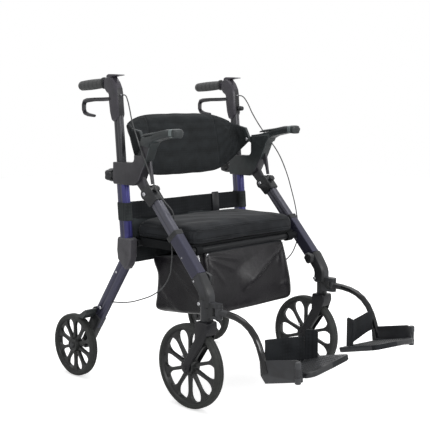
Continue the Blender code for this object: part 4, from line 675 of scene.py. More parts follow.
def stuffed(node, name, cap, pressure=4.0, swell=0.985, cell=None):
    """A padded piece: the node's form on an even grid, blown up a little as cloth and held within a cap.

    The cloth never sinks below its start, apart from a hair's breadth that the cap names as its second value.
    """
    outward, inward = cap
    obj = changed(copy_of(node, name), "REMESH", mode="VOXEL", voxel_size=cell or settings().voxel)
    start = vertices_of(obj)
    middle = (start.min(axis=0) + start.max(axis=0)) / 2.0
    before = middle + (start - middle) * swell
    set_vertices(obj, before)
    cloth = obj.modifiers.new("cloth", "CLOTH")
    for key, value in CLOTH.items():
        setattr(cloth.settings, key, value)
    cloth.settings.uniform_pressure_force = pressure
    cloth.settings.effector_weights.gravity = 0.0
    cloth.point_cache.frame_start = 1
    cloth.point_cache.frame_end = CLOTH_FRAMES
    scene = bpy.context.scene
    for number in range(1, CLOTH_FRAMES + 1):
        scene.frame_set(number)
    only(obj)
    bpy.ops.object.modifier_apply(modifier=cloth.name)
    scene.frame_set(1)
    move = vertices_of(obj) - before
    length = np.linalg.norm(move, axis=1, keepdims=True)
    move *= np.minimum(1.0, outward / np.maximum(length, 1e-9))
    set_vertices(obj, before)
    normals = normals_of(obj)
    along = (move * normals).sum(axis=1)
    set_vertices(obj, before + normals * np.maximum(along, -inward)[:, None])
    return subdivided(obj)


def rod(name, points, radius, closed=False, resolution=5, sides=3):
    """A round cord through points: piping, cable or bent wire, with closed ends."""
    curve = bpy.data.curves.new(name, "CURVE")
    curve.dimensions = "3D"
    curve.bevel_depth = radius
    curve.bevel_resolution = sides
    curve.use_fill_caps = True
    curve.resolution_u = resolution
    line = curve.splines.new("BEZIER")
    line.bezier_points.add(len(points) - 1)
    for spot, point in zip(line.bezier_points, points):
        spot.co = point
        spot.handle_left_type = "AUTO"
        spot.handle_right_type = "AUTO"
    line.use_cyclic_u = closed
    only(linked(name, curve))
    bpy.ops.object.convert(target="MESH")
    return smooth(welded(bpy.context.object), 60.0)


def shell(name, rows, closed=False, thickness=0.0, levels=0):
    """A sheet through rows of points, closed round each row if asked, with its own thickness."""
    count = len(rows[0])
    faces = []
    for i in range(len(rows) - 1):
        for j in range(count if closed else count - 1):
            k = (j + 1) % count
            faces.append((i * count + j, i * count + k, (i + 1) * count + k, (i + 1) * count + j))
    mesh = bpy.data.meshes.new(name)
    mesh.from_pydata([tuple(p) for row in rows for p in row], [], faces)
    obj = edited(linked(name, mesh), (bpy.ops.mesh.normals_make_consistent, {"inside": False}))
    if thickness:
        changed(obj, "SOLIDIFY", thickness=thickness, offset=0.0)
    if levels:
        subdivided(obj, levels)
    return smooth(obj, 60.0)


def loop_at(x, y, z, *shape):
    """A level loop of a rounded section about a place."""
    return [at(x + u, y + v, z) for u, v, _, _ in rounded_loop(*shape)]


def closed_body(name, rows, ends=None):
    """A body through loops of points, its ends drawn together in the points given or the loops' middles."""
    first, last = ends or [sum(row, Vector()) / len(row) for row in (rows[0], rows[-1])]
    count = len(rows[0])
    return welded(shell(name, [[first] * count] + rows + [[last] * count], True))


def joined(obj, others):
    """Join other meshes into the first."""
    only(obj)
    for other in others:
        other.select_set(True)
    bpy.ops.object.join()
    return obj


def screw(name, body, centre, axis, radius=0.0042, height=0.0028, finish="steel"):
    """A domed head with a sunk round socket."""
    profile = (
        (-0.001, 0.0), (-0.001, radius), (height * 0.30, radius), (height * 0.62, radius * 0.93),
        (height * 0.90, radius * 0.72), (height, radius * 0.50), (height, radius * 0.42),
        (height * 0.45, radius * 0.38), (height * 0.45, 0.0),
    )
    return dress(turned_piece(name, profile, centre, axis, 24), body, finish)


def screws(name, side, body, rows, finish="steel"):
    """Heads on one side, as tag, x, y, z, 1 for outward or -1 for inward, radius and height."""
    for tag, x, y, z, way, radius, height in rows:
        screw("%s.%s" % (tag, name), body, at(side * x, y, z), (side * way, 0, 0), radius, height, finish)


# Pieces

class HandlesOperator(bpy.types.Operator):
    """Moulded heads, soft grips, telescoping tubes and loop brake levers"""
    bl_idname = "rollator.handles"
    bl_label = "Handles"

    def execute(self, context):
        for name, side in SIDES:
            body = "handle_" + name
            rounded("inner_tube_" + name, "black_tube", 0.0006)
            head = rounded("handle_head_" + name, "head", 0.0020, 3)
            dress_faces(head, "front_face", lambda middle, normal: normal.y < -0.93 and middle.z < 0.9300)
            self.fatten(rounded("brake_lever_" + name, "housing", 0.0014, 3, 25.0))
            self.grip(name, side)
            profile = ((-0.003, 0.0), (-0.003, 0.0034), (0.001, 0.0034), (0.0026, 0.0028), (0.0026, 0.0))
            mouth = at(side * UPRIGHT_X, -0.1890, 0.9025)
            dress(turned_piece("cable_ferrule." + name, profile, mouth, (0, -1, 0), 20), body, "steel")
            screws(name, side, body, (
                ("lever_screw", 0.2728, *LEVER_ROOT, 1, 0.0040, 0.0018),
                ("lever_screw_in", 0.2412, *LEVER_ROOT, -1, 0.0040, 0.0018),
            ), "plastic")
        rounded("head_knob", "plastic", 0.0008)
        return {"FINISHED"}

    def fatten(self, obj):
        """Give the loop of the lever its moulded thickness, and leave its root as it is."""
        root = at(0.0, *LEVER_ROOT)

        def growth(points):
            away = np.hypot(points[:, 1] - root.y, points[:, 2] - root.z)
            return np.clip((away - 0.012) / 0.020, 0.0, 1.0) * 0.0017

        rippled(obj, growth)

    def grip(self, name, side):
        """Soft sleeve with a collar at the head, a slight palm swell and a round end."""
        start = at(side * UPRIGHT_X, *GRIP_START)
        end = at(side * UPRIGHT_X, *GRIP_END)
        length = (end - start).length
        radius = 0.0155
        profile = [
            (0.0010, 0.0), (0.0010, radius + 0.0012), (0.0022, radius + 0.0024), (0.0050, radius + 0.0024),
            (0.0066, radius + 0.0010), (0.0090, radius - 0.0006), (0.0200, radius - 0.0003),
            (0.0450, radius + 0.0005), (length * 0.55, radius + 0.0008), (length - 0.0300, radius + 0.0002),
        ]
        profile += [(length - 0.0145 + a, b) for a, b in arc((0.0, 0.0), 0.0152, 78, 0, 9)]
        profile = [(min(a, length + 0.0004), max(b, 0.0)) for a, b in profile]
        obj = turned_piece("soft_grip." + name, profile, start, end - start, 64)
        dress(obj, "handle_" + name, "grip", "hand_grip_" + name)


class SideFramesOperator(bpy.types.Operator):
    """Uprights, side housings with their armrests, rear legs, axle brackets and brake shoes"""
    bl_idname = "rollator.side_frames"
    bl_label = "Side frames"

    def execute(self, context):
        for name, side in SIDES:
            rounded("upright_tube_" + name, "upright", 0.0007)
            # Leg and sleeve follow the photo more closely than the frame does
            leg = rounded("rear_leg_" + name, "tube", 0.0007)
            scaled_about_axis(leg, side * UPRIGHT_X, 1.08, 1.34)
            self.housing(name)
            rounded("armrest_pad_" + name, "armrest", 0.0014, 3, 28.0)
            knee = rounded("knee_sleeve_" + name, "knee", 0.0018, 3)
            scaled_about_axis(knee, side * UPRIGHT_X, 0.88, 0.78)
            rounded("axle_bracket_" + name, "plastic", 0.0014, 3)
            self.brake_shoe(name, side)
            self.arm_cover(name, side)
            self.knob(name, side)
            screws(name, side, "rear_frame", (
                ("fold_bolt_out", 0.2748, *FOLD_PIVOT, 1, 0.0062, 0.0028),
                ("fold_bolt_in", 0.2392, *FOLD_PIVOT, -1, 0.0062, 0.0028),
                ("shoe_bolt", 0.2712, -0.0905, 0.2320, 1, 0.0050, 0.0040),
                ("band_bolt", 0.2236, *BACK_PIVOT, -1, 0.0052, 0.0020),
                ("knee_bolt", 0.2690, -0.1690, 0.3570, 1, 0.0040, 0.0020),
                ("knee_bolt_in", 0.2410, -0.2080, 0.4200, -1, 0.0040, 0.0020),
            ))
        rounded("rear_rail", "powder", 0.0006)
        return {"FINISHED"}

    def housing(self, name):
        """The housing in its two finishes: neutral round the upright, greener towards the armrest."""
        obj = rounded("side_housing_" + name, "housing", 0.0016, 3, 28.0)
        points = vertices_of(obj)
        y, z = points[:, 1] - REAR_AXLE_Y, points[:, 2]
        # The panel's upper rear corner slopes down behind the arm
        back = np.clip((y + 0.345) / 0.040, 0.0, 1.0)
        high = np.clip((z - 0.768) / 0.020, 0.0, 1.0)
        free = np.hypot(y - BACK_PIVOT[0], z - BACK_PIVOT[1]) > 0.013
        points[:, 2] -= np.where(free, 0.0085 * back * high, 0.0)
        set_vertices(obj, points)
        dress_faces(
            obj, "armrest", lambda middle, normal: middle.z > 0.700 + 0.25 * (middle.y - REAR_AXLE_Y + 0.30),
        )

    def brake_shoe(self, name, side):
        """Wedge that leans from the bracket to the tread."""
        node = "brake_shoe_" + name
        outline = (
            (-0.0300, 0.2022), (-0.0280, 0.2060), (-0.0440, 0.2130), (-0.0560, 0.2212), (-0.0690, 0.2285),
            (-0.0760, 0.2270), (-0.0745, 0.2180), (-0.0665, 0.2080), (-0.0510, 0.1960), (-0.0400, 0.1990),
        )
        widths = (0.2735, 0.2820, 0.2990, 0.3155)
        ends = [at(side * x, -0.0540, 0.2110) for x in (widths[0], widths[-1])]
        rows = [[at(side * x, y, z) for y, z in outline] for x in widths]
        obj = bevelled(closed_body("brake_wedge." + name, rows, ends), 0.0016, 3, 25.0)
        dress(smooth(obj, 40.0), BODY_OF[node], "armrest", node)

    def arm_cover(self, name, side):
        """Soft cover of the arm, thickest at its blunt round nose, with a paler band near the nose that is a
        painted highlight.
        """
        stations = (
            (-0.3380, 0.7560, 0.7850, 0.0190), (-0.3500, 0.7650, 0.7880, 0.0196),
            (-0.3650, 0.7722, 0.7918, 0.0197), (-0.3850, 0.7775, 0.7963, 0.0197),
            (-0.4050, 0.7800, 0.8003, 0.0197), (-0.4220, 0.7812, 0.8035, 0.0197),
            (-0.4340, 0.7806, 0.8054, 0.0196), (-0.4420, 0.7790, 0.8058, 0.0193),
            (-0.4470, 0.7786, 0.8050, 0.0180), (-0.4500, 0.7798, 0.8030, 0.0148),
            (-0.4512, 0.7830, 0.7996, 0.0080),
        )
        rows = [self.section(side, *station) for station in stations]
        nose = sum(rows[-1], Vector()) / len(rows[-1]) + Vector((0, -0.0004, 0))
        obj = closed_body("arm_cover." + name, rows, (sum(rows[0], Vector()) / len(rows[0]), nose))
        dress(smooth(subdivided(obj), 50.0), "rear_frame", "armrest")
        # A paler ring round the arm near its nose: a painted highlight where the round nose catches the light
        band = (
            (-0.4262, 0.7822, 0.8030, 0.0188), (-0.4260, 0.7807, 0.8044, 0.0199),
            (-0.4320, 0.7803, 0.8053, 0.0199), (-0.4380, 0.7796, 0.8058, 0.0198),
            (-0.4382, 0.7812, 0.8042, 0.0186), (-0.4262, 0.7822, 0.8030, 0.0188),
        )
        obj = welded(shell("arm_highlight_band." + name, [self.section(side, *station) for station in band], True))
        dress(smooth(obj, 50.0), "rear_frame", "painted_highlight_band")

    def section(self, side, y, low, high, half):
        """One rounded section across the arm."""
        middle, reach = (low + high) / 2.0, (high - low) / 2.0
        row = []
        for step in range(24):
            turn = 2 * math.pi * step / 24.0
            u, w = math.cos(turn), math.sin(turn)
            row.append(at(
                side * ARM_X + half * math.copysign(abs(u) ** 0.42, u), y,
                middle + reach * math.copysign(abs(w) ** 0.5, w),
            ))
        return row

    def knob(self, name, side):
        """Five-lobed knob that clamps the telescoping tube, moulded round its shank."""
        profile = (
            (-0.0005, 0.0), (-0.0005, 0.0100), (0.0120, 0.0105), (0.0155, 0.0165), (0.0180, 0.0182),
            (0.0300, 0.0186), (0.0360, 0.0176), (0.0395, 0.0140), (0.0410, 0.0070), (0.0413, 0.0),
        )
        centre = at(side * UPRIGHT_X, -0.1640, 0.6573)
        obj = turned_piece("clamp_grip." + name, profile, centre, (0, 1, 0), 60)
        points = vertices_of(obj)
        away = points - np.array(centre)
        turn = np.arctan2(away[:, 2], away[:, 0])
        grow = 1.0 + 0.085 * np.cos(5.0 * turn) * np.clip(np.hypot(away[:, 0], away[:, 2]) / 0.015, 0.0, 1.0)
        points[:, 0] = centre[0] + away[:, 0] * grow * 1.06
        points[:, 2] = centre[2] + away[:, 2] * grow * 1.06
        set_vertices(obj, points)
        dress(obj, "height_knob_" + name, "plastic", "height_knob_" + name)


class FrontFrameOperator(bpy.types.Operator):
    """Front legs, fold joints, lower leg mouldings, front rail and their knobs"""
    bl_idname = "rollator.front_frame"
    bl_label = "Front frame"

    def execute(self, context):
        for name, side in SIDES:
            rounded("front_leg_" + name, "bright_tube", 0.0007)
            self.sleeve(name, side)
            rounded("leg_joint_" + name, "plastic", 0.0014, 3)
            rounded("lower_leg_" + name, "plastic", 0.0016, 3, 28.0)
            rounded("lock_knob_" + name, "plastic", 0.0009)
            rounded("clamp_knob_" + name, "plastic", 0.0012)
            screws(name, side, "front_frame", (
                ("elbow_rivet_out", 0.2782, -0.5450, 0.3180, 1, 0.0052, 0.0024),
                ("leg_screw_out", 0.2702, -0.4689, 0.4385, 1, 0.0030, 0.0018),
                ("elbow_screw_out", 0.2782, -0.5240, 0.3790, 1, 0.0030, 0.0018),
                ("elbow_rivet_in", 0.2428, -0.5450, 0.3180, -1, 0.0052, 0.0024),
                ("leg_screw_in", 0.2438, -0.4689, 0.4385, -1, 0.0030, 0.0018),
                ("elbow_screw_in", 0.2428, -0.5240, 0.3790, -1, 0.0030, 0.0018),
            ))
        rounded("front_rail", "powder", 0.0006)
        self.link()
        return {"FINISHED"}

    def link(self):
        """Polished steel link that hangs from the rail between the near leg and the bag."""
        path = (
            (-0.4560, 0.4600, 0.0046), (-0.4590, 0.4480, 0.0046), (-0.4650, 0.4250, 0.0046),
            (-0.4730, 0.4000, 0.0046), (-0.4820, 0.3780, 0.0034),
        )
        rows = [loop_at(-0.2010, y, z, 0.0012, half, 0.0008, 3, 4) for y, z, half in path]
        dress(smooth(closed_body("rail_link", rows), 40.0), "front_frame", "steel")

    def sleeve(self, name, side):
        """Wider lower tube that the leg slides into, with its collar."""
        low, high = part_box("front_leg_" + name)
        x = (low[0] + high[0]) / 2.0
        top = Vector((0.0, -0.4272, 0.4991))
        foot = Vector((0.0, -0.5248, 0.3920))
        line = (foot - top).normalized()
        front = Vector((0.0, line.z, -line.y))

        def section(along, wide, deep, radius, back=0.0):
            return [
                at(x + u, 0.0, 0.0) + top + line * along + front * (v - back)
                for u, v, _, _ in rounded_loop(wide, deep, radius, 4, 5)
            ]

        for tag, first, last, wide, deep, back, finish in (
            ("tube", 0.006, (foot - top).length, 0.0146, 0.0200, 0.0, "tube"),
            ("collar", -0.006, 0.010, 0.0160, 0.0232, 0.0020, "plastic"),
        ):
            inner = [section(along, 0.0120, 0.0160, 0.0045) for along in (first, last)]
            rows = [inner[0]]
            middle = tuple(np.linspace(first + 0.004, last - 0.004, 7))
            for along in (first, first + 0.0012) + middle + (last - 0.0012, last):
                trim = 0.0 if min(along - first, last - along) > 0.001 else 0.0010
                rows.append(section(along, wide - trim, deep - trim, 0.0050, back))
            obj = welded(shell("leg_%s.%s" % (tag, name), rows + [inner[1], inner[0]], True))
            dress(smooth(obj, 35.0), "front_frame", finish)


class WheelsOperator(bpy.types.Operator):
    """Caster forks, front wheels and rear wheels with their solid tyres"""
    bl_idname = "rollator.wheels"
    bl_label = "Wheels"

    def execute(self, context):
        for name, side in SIDES:
            rounded("fork_" + name, "fork", 0.0018, 3, 28.0)
            for place in ("front", "rear"):
                self.wheel(place, name, side)
            low, high = sorted(side * corner[0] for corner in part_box("fork_" + name))
            screws(name, side, "caster_" + name, (
                ("fork_screw_out", high - 0.0036, -0.4870, 0.1570, 1, 0.0034, 0.0020),
                ("fork_screw_in", low + 0.0036, -0.4870, 0.1570, -1, 0.0034, 0.0020),
            ))
        return {"FINISHED"}

    def wheel(self, place, name, side):
        """Tyre, rim ring, hub and ten tapering spokes."""
        low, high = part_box("%s_tyre_%s" % (place, name))
        rim_low, rim_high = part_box("%s_rim_%s" % (place, name))
        centre = (Vector(low) + Vector(high)) / 2.0
        radius = (high[1] - low[1]) / 2.0
        half = (high[0] - low[0]) / 2.0
        hub_half = (rim_high[0] - rim_low[0]) / 2.0
        body = "%s_wheel_%s" % (place, name)
        seat = radius - 0.0130
        inner = seat - (0.0062 if place == "front" else 0.0056)
        # The tread has a shallow groove on each side of its middle
        outline = mirrored((
            (-half * 0.93, seat), (-half * 0.99, seat + 0.0016), (-half, radius - 0.0070),
            (-half * 0.95, radius - 0.0040), (-half * 0.80, radius - 0.0017), (-half * 0.58, radius - 0.0004),
            (-0.0056, radius), (-0.0050, radius - 0.0010), (-0.0042, radius - 0.0010), (-0.0036, radius),
        ))
        tyre = ring_piece("solid_tyre_%s.%s" % (place, name), outline, centre, (1, 0, 0), 112)
        dress(tyre, body, "tyre", "%s_tyre_%s" % (place, name))
        lip = half * 0.84
        outline = mirrored((
            (-lip, seat + 0.0003), (-lip - 0.0006, seat - 0.0012), (-lip * 0.95, seat - 0.0030),
            (-lip * 0.62, inner + 0.0016), (-lip * 0.50, inner),
        ))
        rim = ring_piece("wheel_%s.%s" % (place, name), outline, centre, (1, 0, 0), 112)
        hub_r = 0.0235 if place == "front" else 0.0215
        hub = mirrored((
            (-hub_half, 0.0), (-hub_half, 0.0095), (-hub_half + 0.0022, 0.0105),
            (-hub_half + 0.0022, hub_r - 0.0050), (-hub_half + 0.0006, hub_r - 0.0034),
            (-hub_half + 0.0010, hub_r - 0.0006), (-hub_half + 0.0040, hub_r), (-0.0060, hub_r + 0.0030),
        ))
        parts = [turned_piece("hub", hub, centre, (1, 0, 0), 48)]
        spoke = self.spoke(centre, hub_r, inner)
        for number in range(SPOKES):
            turn = Matrix.Rotation(2 * math.pi * number / SPOKES, 4, "X")
            around = Matrix.Translation(centre) @ turn @ Matrix.Translation(-centre)
            parts.append(moved_copy(spoke, "spoke", around))
        bpy.data.objects.remove(spoke)
        joined(rim, parts)
        dress(rim, body, "wheel", "%s_rim_%s" % (place, name))
        if place == "rear":
            out = Vector((side, 0, 0))
            end = centre + out * (hub_half - 0.0004)
            screw("axle_cap." + name, body, end, out, 0.0090, 0.0040, "plastic")

    def spoke(self, centre, hub_r, inner):
        """One spoke, thin in the middle, whose roots run into the hub and round into the rim."""
        span = inner - hub_r
        start = 0.60
        rows = []
        for step in range(15):
            share = step / 14.0
            radius = hub_r - 0.002 + (span + 0.0035) * share
            full = math.pi / SPOKES * radius
            # The window between two spokes, with a round end at the rim
            window = full - 0.0047 - 0.0012 * (1.0 - share) ** 2
            if share > start:
                window *= math.sqrt(max(0.0, 1.0 - ((share - start) / (1.0 - start)) ** 2))
            half = full - max(window, 0.0)
            if share < 0.12:
                half = max(half, full * (1.0 - share / 0.12 * 0.5))
            thick = 0.0062 - 0.0012 * math.sin(math.pi * share)
            rows.append([
                centre + Vector((-thick, -half, radius)), centre + Vector((-thick - 0.0008, 0.0, radius)),
                centre + Vector((-thick, half, radius)), centre + Vector((thick, half, radius)),
                centre + Vector((thick + 0.0008, 0.0, radius)), centre + Vector((thick, -half, radius)),
            ])
        return smooth(bevelled(shell("spoke_shape", rows, True), 0.0014, 2, 40.0), 50.0)


class BackBandOperator(bpy.types.Operator):
    """Padded back band with piped edges, sewn lines and moulded end plates"""
    bl_idname = "rollator.back_band"
    bl_label = "Back band"

    def execute(self, context):
        obj = stuffed("back_pad", "padded_band", (0.0040, 0.0002), 3.5, 1.006, 0.0042)
        pressed_line(obj, lambda p: np.abs(np.abs(p[:, 0]) - BAND_SEAM_X), 0.0028, 0.0026)
        rippled(obj, self.creases)
        smooth(obj, 70.0)
        dress(obj, "back", "cloth", "back_pad")
        for tag, sign in (("top", 1.0), ("low", -1.0)):
            dress(rod("band_piping_" + tag, self.ridge(obj, sign), 0.0016, False, 3), "back", "webbing")
        for name, side in SIDES:
            self.plate(name, side)
        return {"FINISHED"}

    def creases(self, points):
        x, z = points[:, 0], points[:, 2]
        waves = 0.0007 * np.sin(x * 71.0 + 4.0 * np.sin(z * 23.0)) + 0.0005 * np.sin(x * 133.0 - z * 40.0)
        return waves * np.clip(1.0 - np.abs(x) / 0.235, 0.0, 1.0)

    def ridge(self, obj, sign):
        """The highest or lowest line along the band."""
        points = vertices_of(obj)
        path = []
        for step in range(-24, 25):
            x = step * 0.0094
            near = points[np.abs(points[:, 0] - x) < 0.0045]
            if not len(near):
                continue
            best = near[np.argmax(near[:, 2] * sign)]
            path.append((x, best[1], best[2]))
        path = np.array(path)
        for _ in range(3):
            path[1:-1] = (path[:-2] + path[1:-1] * 2.0 + path[2:]) / 4.0
        path[:, 2] -= sign * 0.0002
        return [tuple(p) for p in path]

    def plate(self, name, side):
        """Moulded plate round the end of the band, where it hangs on its pin."""
        outline = (
            (-0.2140, 0.8030), (-0.2520, 0.7955), (-0.2690, 0.7640), (-0.2705, 0.7500), (-0.2620, 0.7465),
            (-0.2400, 0.7640), (-0.2140, 0.7800),
        )
        faces = (0.2288, 0.2392)
        ends = [at(side * x, -0.2440, 0.7760) for x in faces]
        rows = [[at(side * x, y, z) for y, z in outline] for x in faces]
        obj = bevelled(closed_body("band_plate." + name, rows, ends), 0.0022, 3, 30.0)
        dress(smooth(obj, 40.0), "back", "armrest")


class SeatOperator(bpy.types.Operator):
    """Seat board and crowned cushion with piped edges and soft creases"""
    bl_idname = "rollator.seat"
    bl_label = "Seat"

    def execute(self, context):
        rounded("seat_board", "board", 0.0010)
        obj = stuffed("seat_cushion", "cushion", (0.006, 0.0006), 4.5, 1.0)
        points = vertices_of(obj)
        points[:, 2] = np.maximum(points[:, 2], SEAT_LOW[2] + 0.0002)
        points[:, 0] = np.clip(points[:, 0], -CUSHION_HALF, CUSHION_HALF)
        set_vertices(obj, points)
        top, low = SEAT_HIGH[2] - 0.013, SEAT_LOW[2] + 0.012
        pressed_line(obj, lambda p: np.abs(p[:, 2] - top), 0.0028, 0.0022)
        pressed_line(obj, lambda p: np.abs(p[:, 2] - low), 0.0026, 0.0018)
        rippled(obj, self.creases)
        smooth(obj, 70.0)
        dress(obj, "seat", "seat_cloth", "seat_cushion")
        for tag, height in (("top", top), ("low", low)):
            dress(rod("cushion_piping_" + tag, self.edge(obj, height), 0.0015, True, 3), "seat", "webbing")
        return {"FINISHED"}

    def creases(self, points):
        x, y, z = points[:, 0], points[:, 1], points[:, 2]
        top = np.clip((z - SEAT_HIGH[2] + 0.022) / 0.016, 0.0, 1.0)
        near = 0.4 + 0.6 * np.clip(0.5 - x / 0.30, 0.0, 1.0)
        waves = np.sin(x * 19.0 + 3.0 * np.sin(y * 17.0)) * np.sin(y * 52.0 + 5.0 * np.sin(x * 9.0))
        side = 0.0007 * np.sin(x * 70.0 + 5.0 * np.sin(x * 21.0) + 2.0 * np.sin(z * 90.0)) * (1.0 - top)
        return 0.0019 * near * waves * top + side * 0.7

    def edge(self, obj, height):
        """The outline of the cushion at a height."""
        points = vertices_of(obj)
        near = points[np.abs(points[:, 2] - height) < 0.004]
        middle = (near.min(axis=0) + near.max(axis=0)) / 2.0
        away = near - middle
        turns, reach = np.arctan2(away[:, 1], away[:, 0]), np.hypot(away[:, 1], away[:, 0])
        path = []
        for step in range(96):
            turn = 2 * math.pi * step / 96.0
            gap = np.abs((turns - turn + math.pi) % (2 * math.pi) - math.pi)
            far = reach[gap < 0.05].max() - 0.0002
            path.append((middle[0] + far * math.cos(turn), middle[1] + far * math.sin(turn), height))
        path = np.array(path)
        for _ in range(2):
            path = (np.roll(path, 1, axis=0) + path * 2.0 + np.roll(path, -1, axis=0)) / 4.0
        return [tuple(p) for p in path]


class BagOperator(bpy.types.Operator):
    """Storage bag of coated nylon that hangs in folds from its top corners"""
    bl_idname = "rollator.bag"
    bl_label = "Bag"

    LEVELS = (
        # y and z at the front, y and z at the rear, half width
        (-0.4675, 0.4402, -0.2350, 0.4020, 0.178), (-0.4740, 0.4150, -0.2450, 0.3850, 0.180),
        (-0.4860, 0.3600, -0.2630, 0.3500, 0.182), (-0.4970, 0.3050, -0.2530, 0.2850, 0.184),
        (-0.5000, 0.2665, -0.2425, 0.2430, 0.180), (-0.4850, 0.2560, -0.2620, 0.2310, 0.162),
    )

    def execute(self, context):
        rows = [self.ring(5.0 * step / 46) for step in range(47)]
        last = np.array(rows[-1])
        middle = last.mean(axis=0)
        for share in (0.9, 0.7, 0.45, 0.2, 0.02):
            rows.append(middle + (last - middle) * share - np.array((0.0, 0.0, 0.004 * (1.0 - share))))
        obj = shell("cloth_bag", rows, True, 0.0018, 1)
        dress(obj, "front_frame", "bag", "bag")
        hem = rod("bag_hem", [p + Vector((0, 0, 0.0004)) for p in self.ring(0.0)[::4]], 0.0020, True, 3)
        dress(hem, "front_frame", "webbing")
        # The bag and its hem get meshes of their own
        for soft in (obj, hem):
            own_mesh(soft)
        for name, side in SIDES:
            place = at(side * 0.167, -0.4694, 0.4330)
            outline = (
                (-0.0004, 0.0026), (0.0012, 0.0027), (0.0018, 0.0038), (0.0012, 0.0050), (-0.0004, 0.0052),
            )
            dress(ring_piece("bag_eyelet." + name, outline, place, (0, -1, 0), 28), "front_frame", "steel")
        return {"FINISHED"}

    # Folds on the front: x and z of the ridge's start and end, its height and its upper face's width
    PLEATS = (
        (0.176, 0.4400, -0.030, 0.3250, 0.0160, 0.062), (0.141, 0.4350, 0.134, 0.3700, 0.0042, 0.013),
        (0.160, 0.4350, 0.158, 0.3450, 0.0034, 0.010), (-0.168, 0.4330, -0.045, 0.4080, 0.0040, 0.014),
        (-0.166, 0.4250, -0.070, 0.3800, 0.0046, 0.016), (-0.168, 0.4150, -0.120, 0.3450, 0.0040, 0.014),
        (0.172, 0.3160, 0.130, 0.3080, 0.0030, 0.009), (0.172, 0.3000, 0.136, 0.2960, 0.0028, 0.009),
    )
    # Folds on the near side, with half the depth scaled to 0.12
    SIDE_PLEATS = (
        (0.060, 0.4000, -0.070, 0.3000, 0.0060, 0.034), (0.100, 0.3300, 0.000, 0.2500, 0.0050, 0.026),
        (-0.110, 0.4200, -0.060, 0.3500, 0.0040, 0.018),
    )

    def ring(self, place):
        """One loop of the wall at a place between the levels, with its folds."""
        low = min(int(place), 4)
        near = [self.LEVELS[min(max(low + step, 0), 5)] for step in (-1, 0, 1, 2)]
        front_y, front_z, rear_y, rear_z, half = [spline_value(*values, place - low) for values in zip(*near)]
        depth = (rear_y - front_y) / 2.0
        mid = (front_y + rear_y) / 2.0
        loop = []
        for u, v, nu, nv in rounded_loop(half, depth, 0.016, 58, 22):
            height = front_z + (rear_z - front_z) * (v / depth + 1.0) / 2.0
            bulge = self.fold(u, v / depth, height, nu, nv, place)
            loop.append(at(u + nu * bulge, mid + v + nv * bulge, height))
        return loop

    def fold(self, x, depth, z, across, along, place):
        """How far the cloth stands out: folds that fan from the top corners, and a soft belly."""
        down = 0.4400 - z
        hold = min(1.0, place / 0.6)
        belly = 0.004 * math.sin(math.pi * min(1.0, place / 5.0))
        if along < -0.6:
            total = sum(pleat(x, z, *line) for line in self.PLEATS)
            total += 0.0016 * math.sin(x * 34.0 + 1.1) * math.exp(-((down - 0.12) / 0.09) ** 2)
            return (belly + total) * hold
        if abs(across) > 0.6:
            fan = math.sin((depth + 1.0) * 3.1 + down * 26.0)
            crease = 1.0 - 2.0 * abs(math.sin(depth * 2.6 + down * 13.0))
            total = sum(pleat(depth * 0.12, z, *line) for line in self.SIDE_PLEATS) if across < 0 else 0.0
            return (belly * 0.5 + 0.0022 * fan + 0.0016 * crease + total) * hold
        return (belly * 0.5 + 0.002 * math.sin(x * 40.0 + down * 30.0)) * hold


def pleat(x, z, x0, z0, x1, z1, height, width):
    """Relief of one fold: a sloping upper face that ends in a sharp ridge, and a steep drop below it."""
    dx, dz = x1 - x0, z1 - z0
    length = math.hypot(dx, dz)
    share = ((x - x0) * dx + (z - z0) * dz) / length ** 2
    if share < -0.05 or share > 1.10:
        return 0.0
    off = ((x - x0) * dz - (z - z0) * dx) / length
    if dx > 0:
        off = -off
    # off is positive above the ridge
    face = width * (0.25 + 0.75 * min(1.0, max(0.0, share)))
    rise = min(1.0, max(0.0, (share + 0.05) / 0.30)) * min(1.0, max(0.0, (1.10 - share) / 0.22))
    if off >= 0:
        return height * rise * max(0.0, 1.0 - off / face) ** 1.2
    return height * rise * math.exp(off / 0.0045)


def spline_value(a, b, c, d, share):
    """A smooth value between b and c."""
    return b + 0.5 * share * (c - a + share * (2 * a - 5 * b + 4 * c - d + share * (3 * (b - c) + d - a)))


def rounded_loop(half, depth, corner, across, along):
    """Points and outward directions of a rounded rectangle, by its two half sizes."""
    loop = []
    sides = (
        ((-half + corner, -depth), (half - corner, -depth), (0.0, -1.0), across),
        ((half, -depth + corner), (half, depth - corner), (1.0, 0.0), along),
        ((half - corner, depth), (-half + corner, depth), (0.0, 1.0), across),
        ((-half, depth - corner), (-half, -depth + corner), (-1.0, 0.0), along),
    )
    for (x0, y0), (x1, y1), (nx, ny), steps in sides:
        for step in range(steps):
            share = step / (steps - 1.0)
            loop.append((x0 + (x1 - x0) * share, y0 + (y1 - y0) * share, nx, ny))
        turn = math.atan2(ny, nx)
        cx, cy = x1 - nx * corner, y1 - ny * corner
        for step in (1, 2, 3):
            angle = turn + math.radians(22.5 * step)
            dx, dy = math.cos(angle), math.sin(angle)
            loop.append((cx + dx * corner, cy + dy * corner, dx, dy))
    return loop


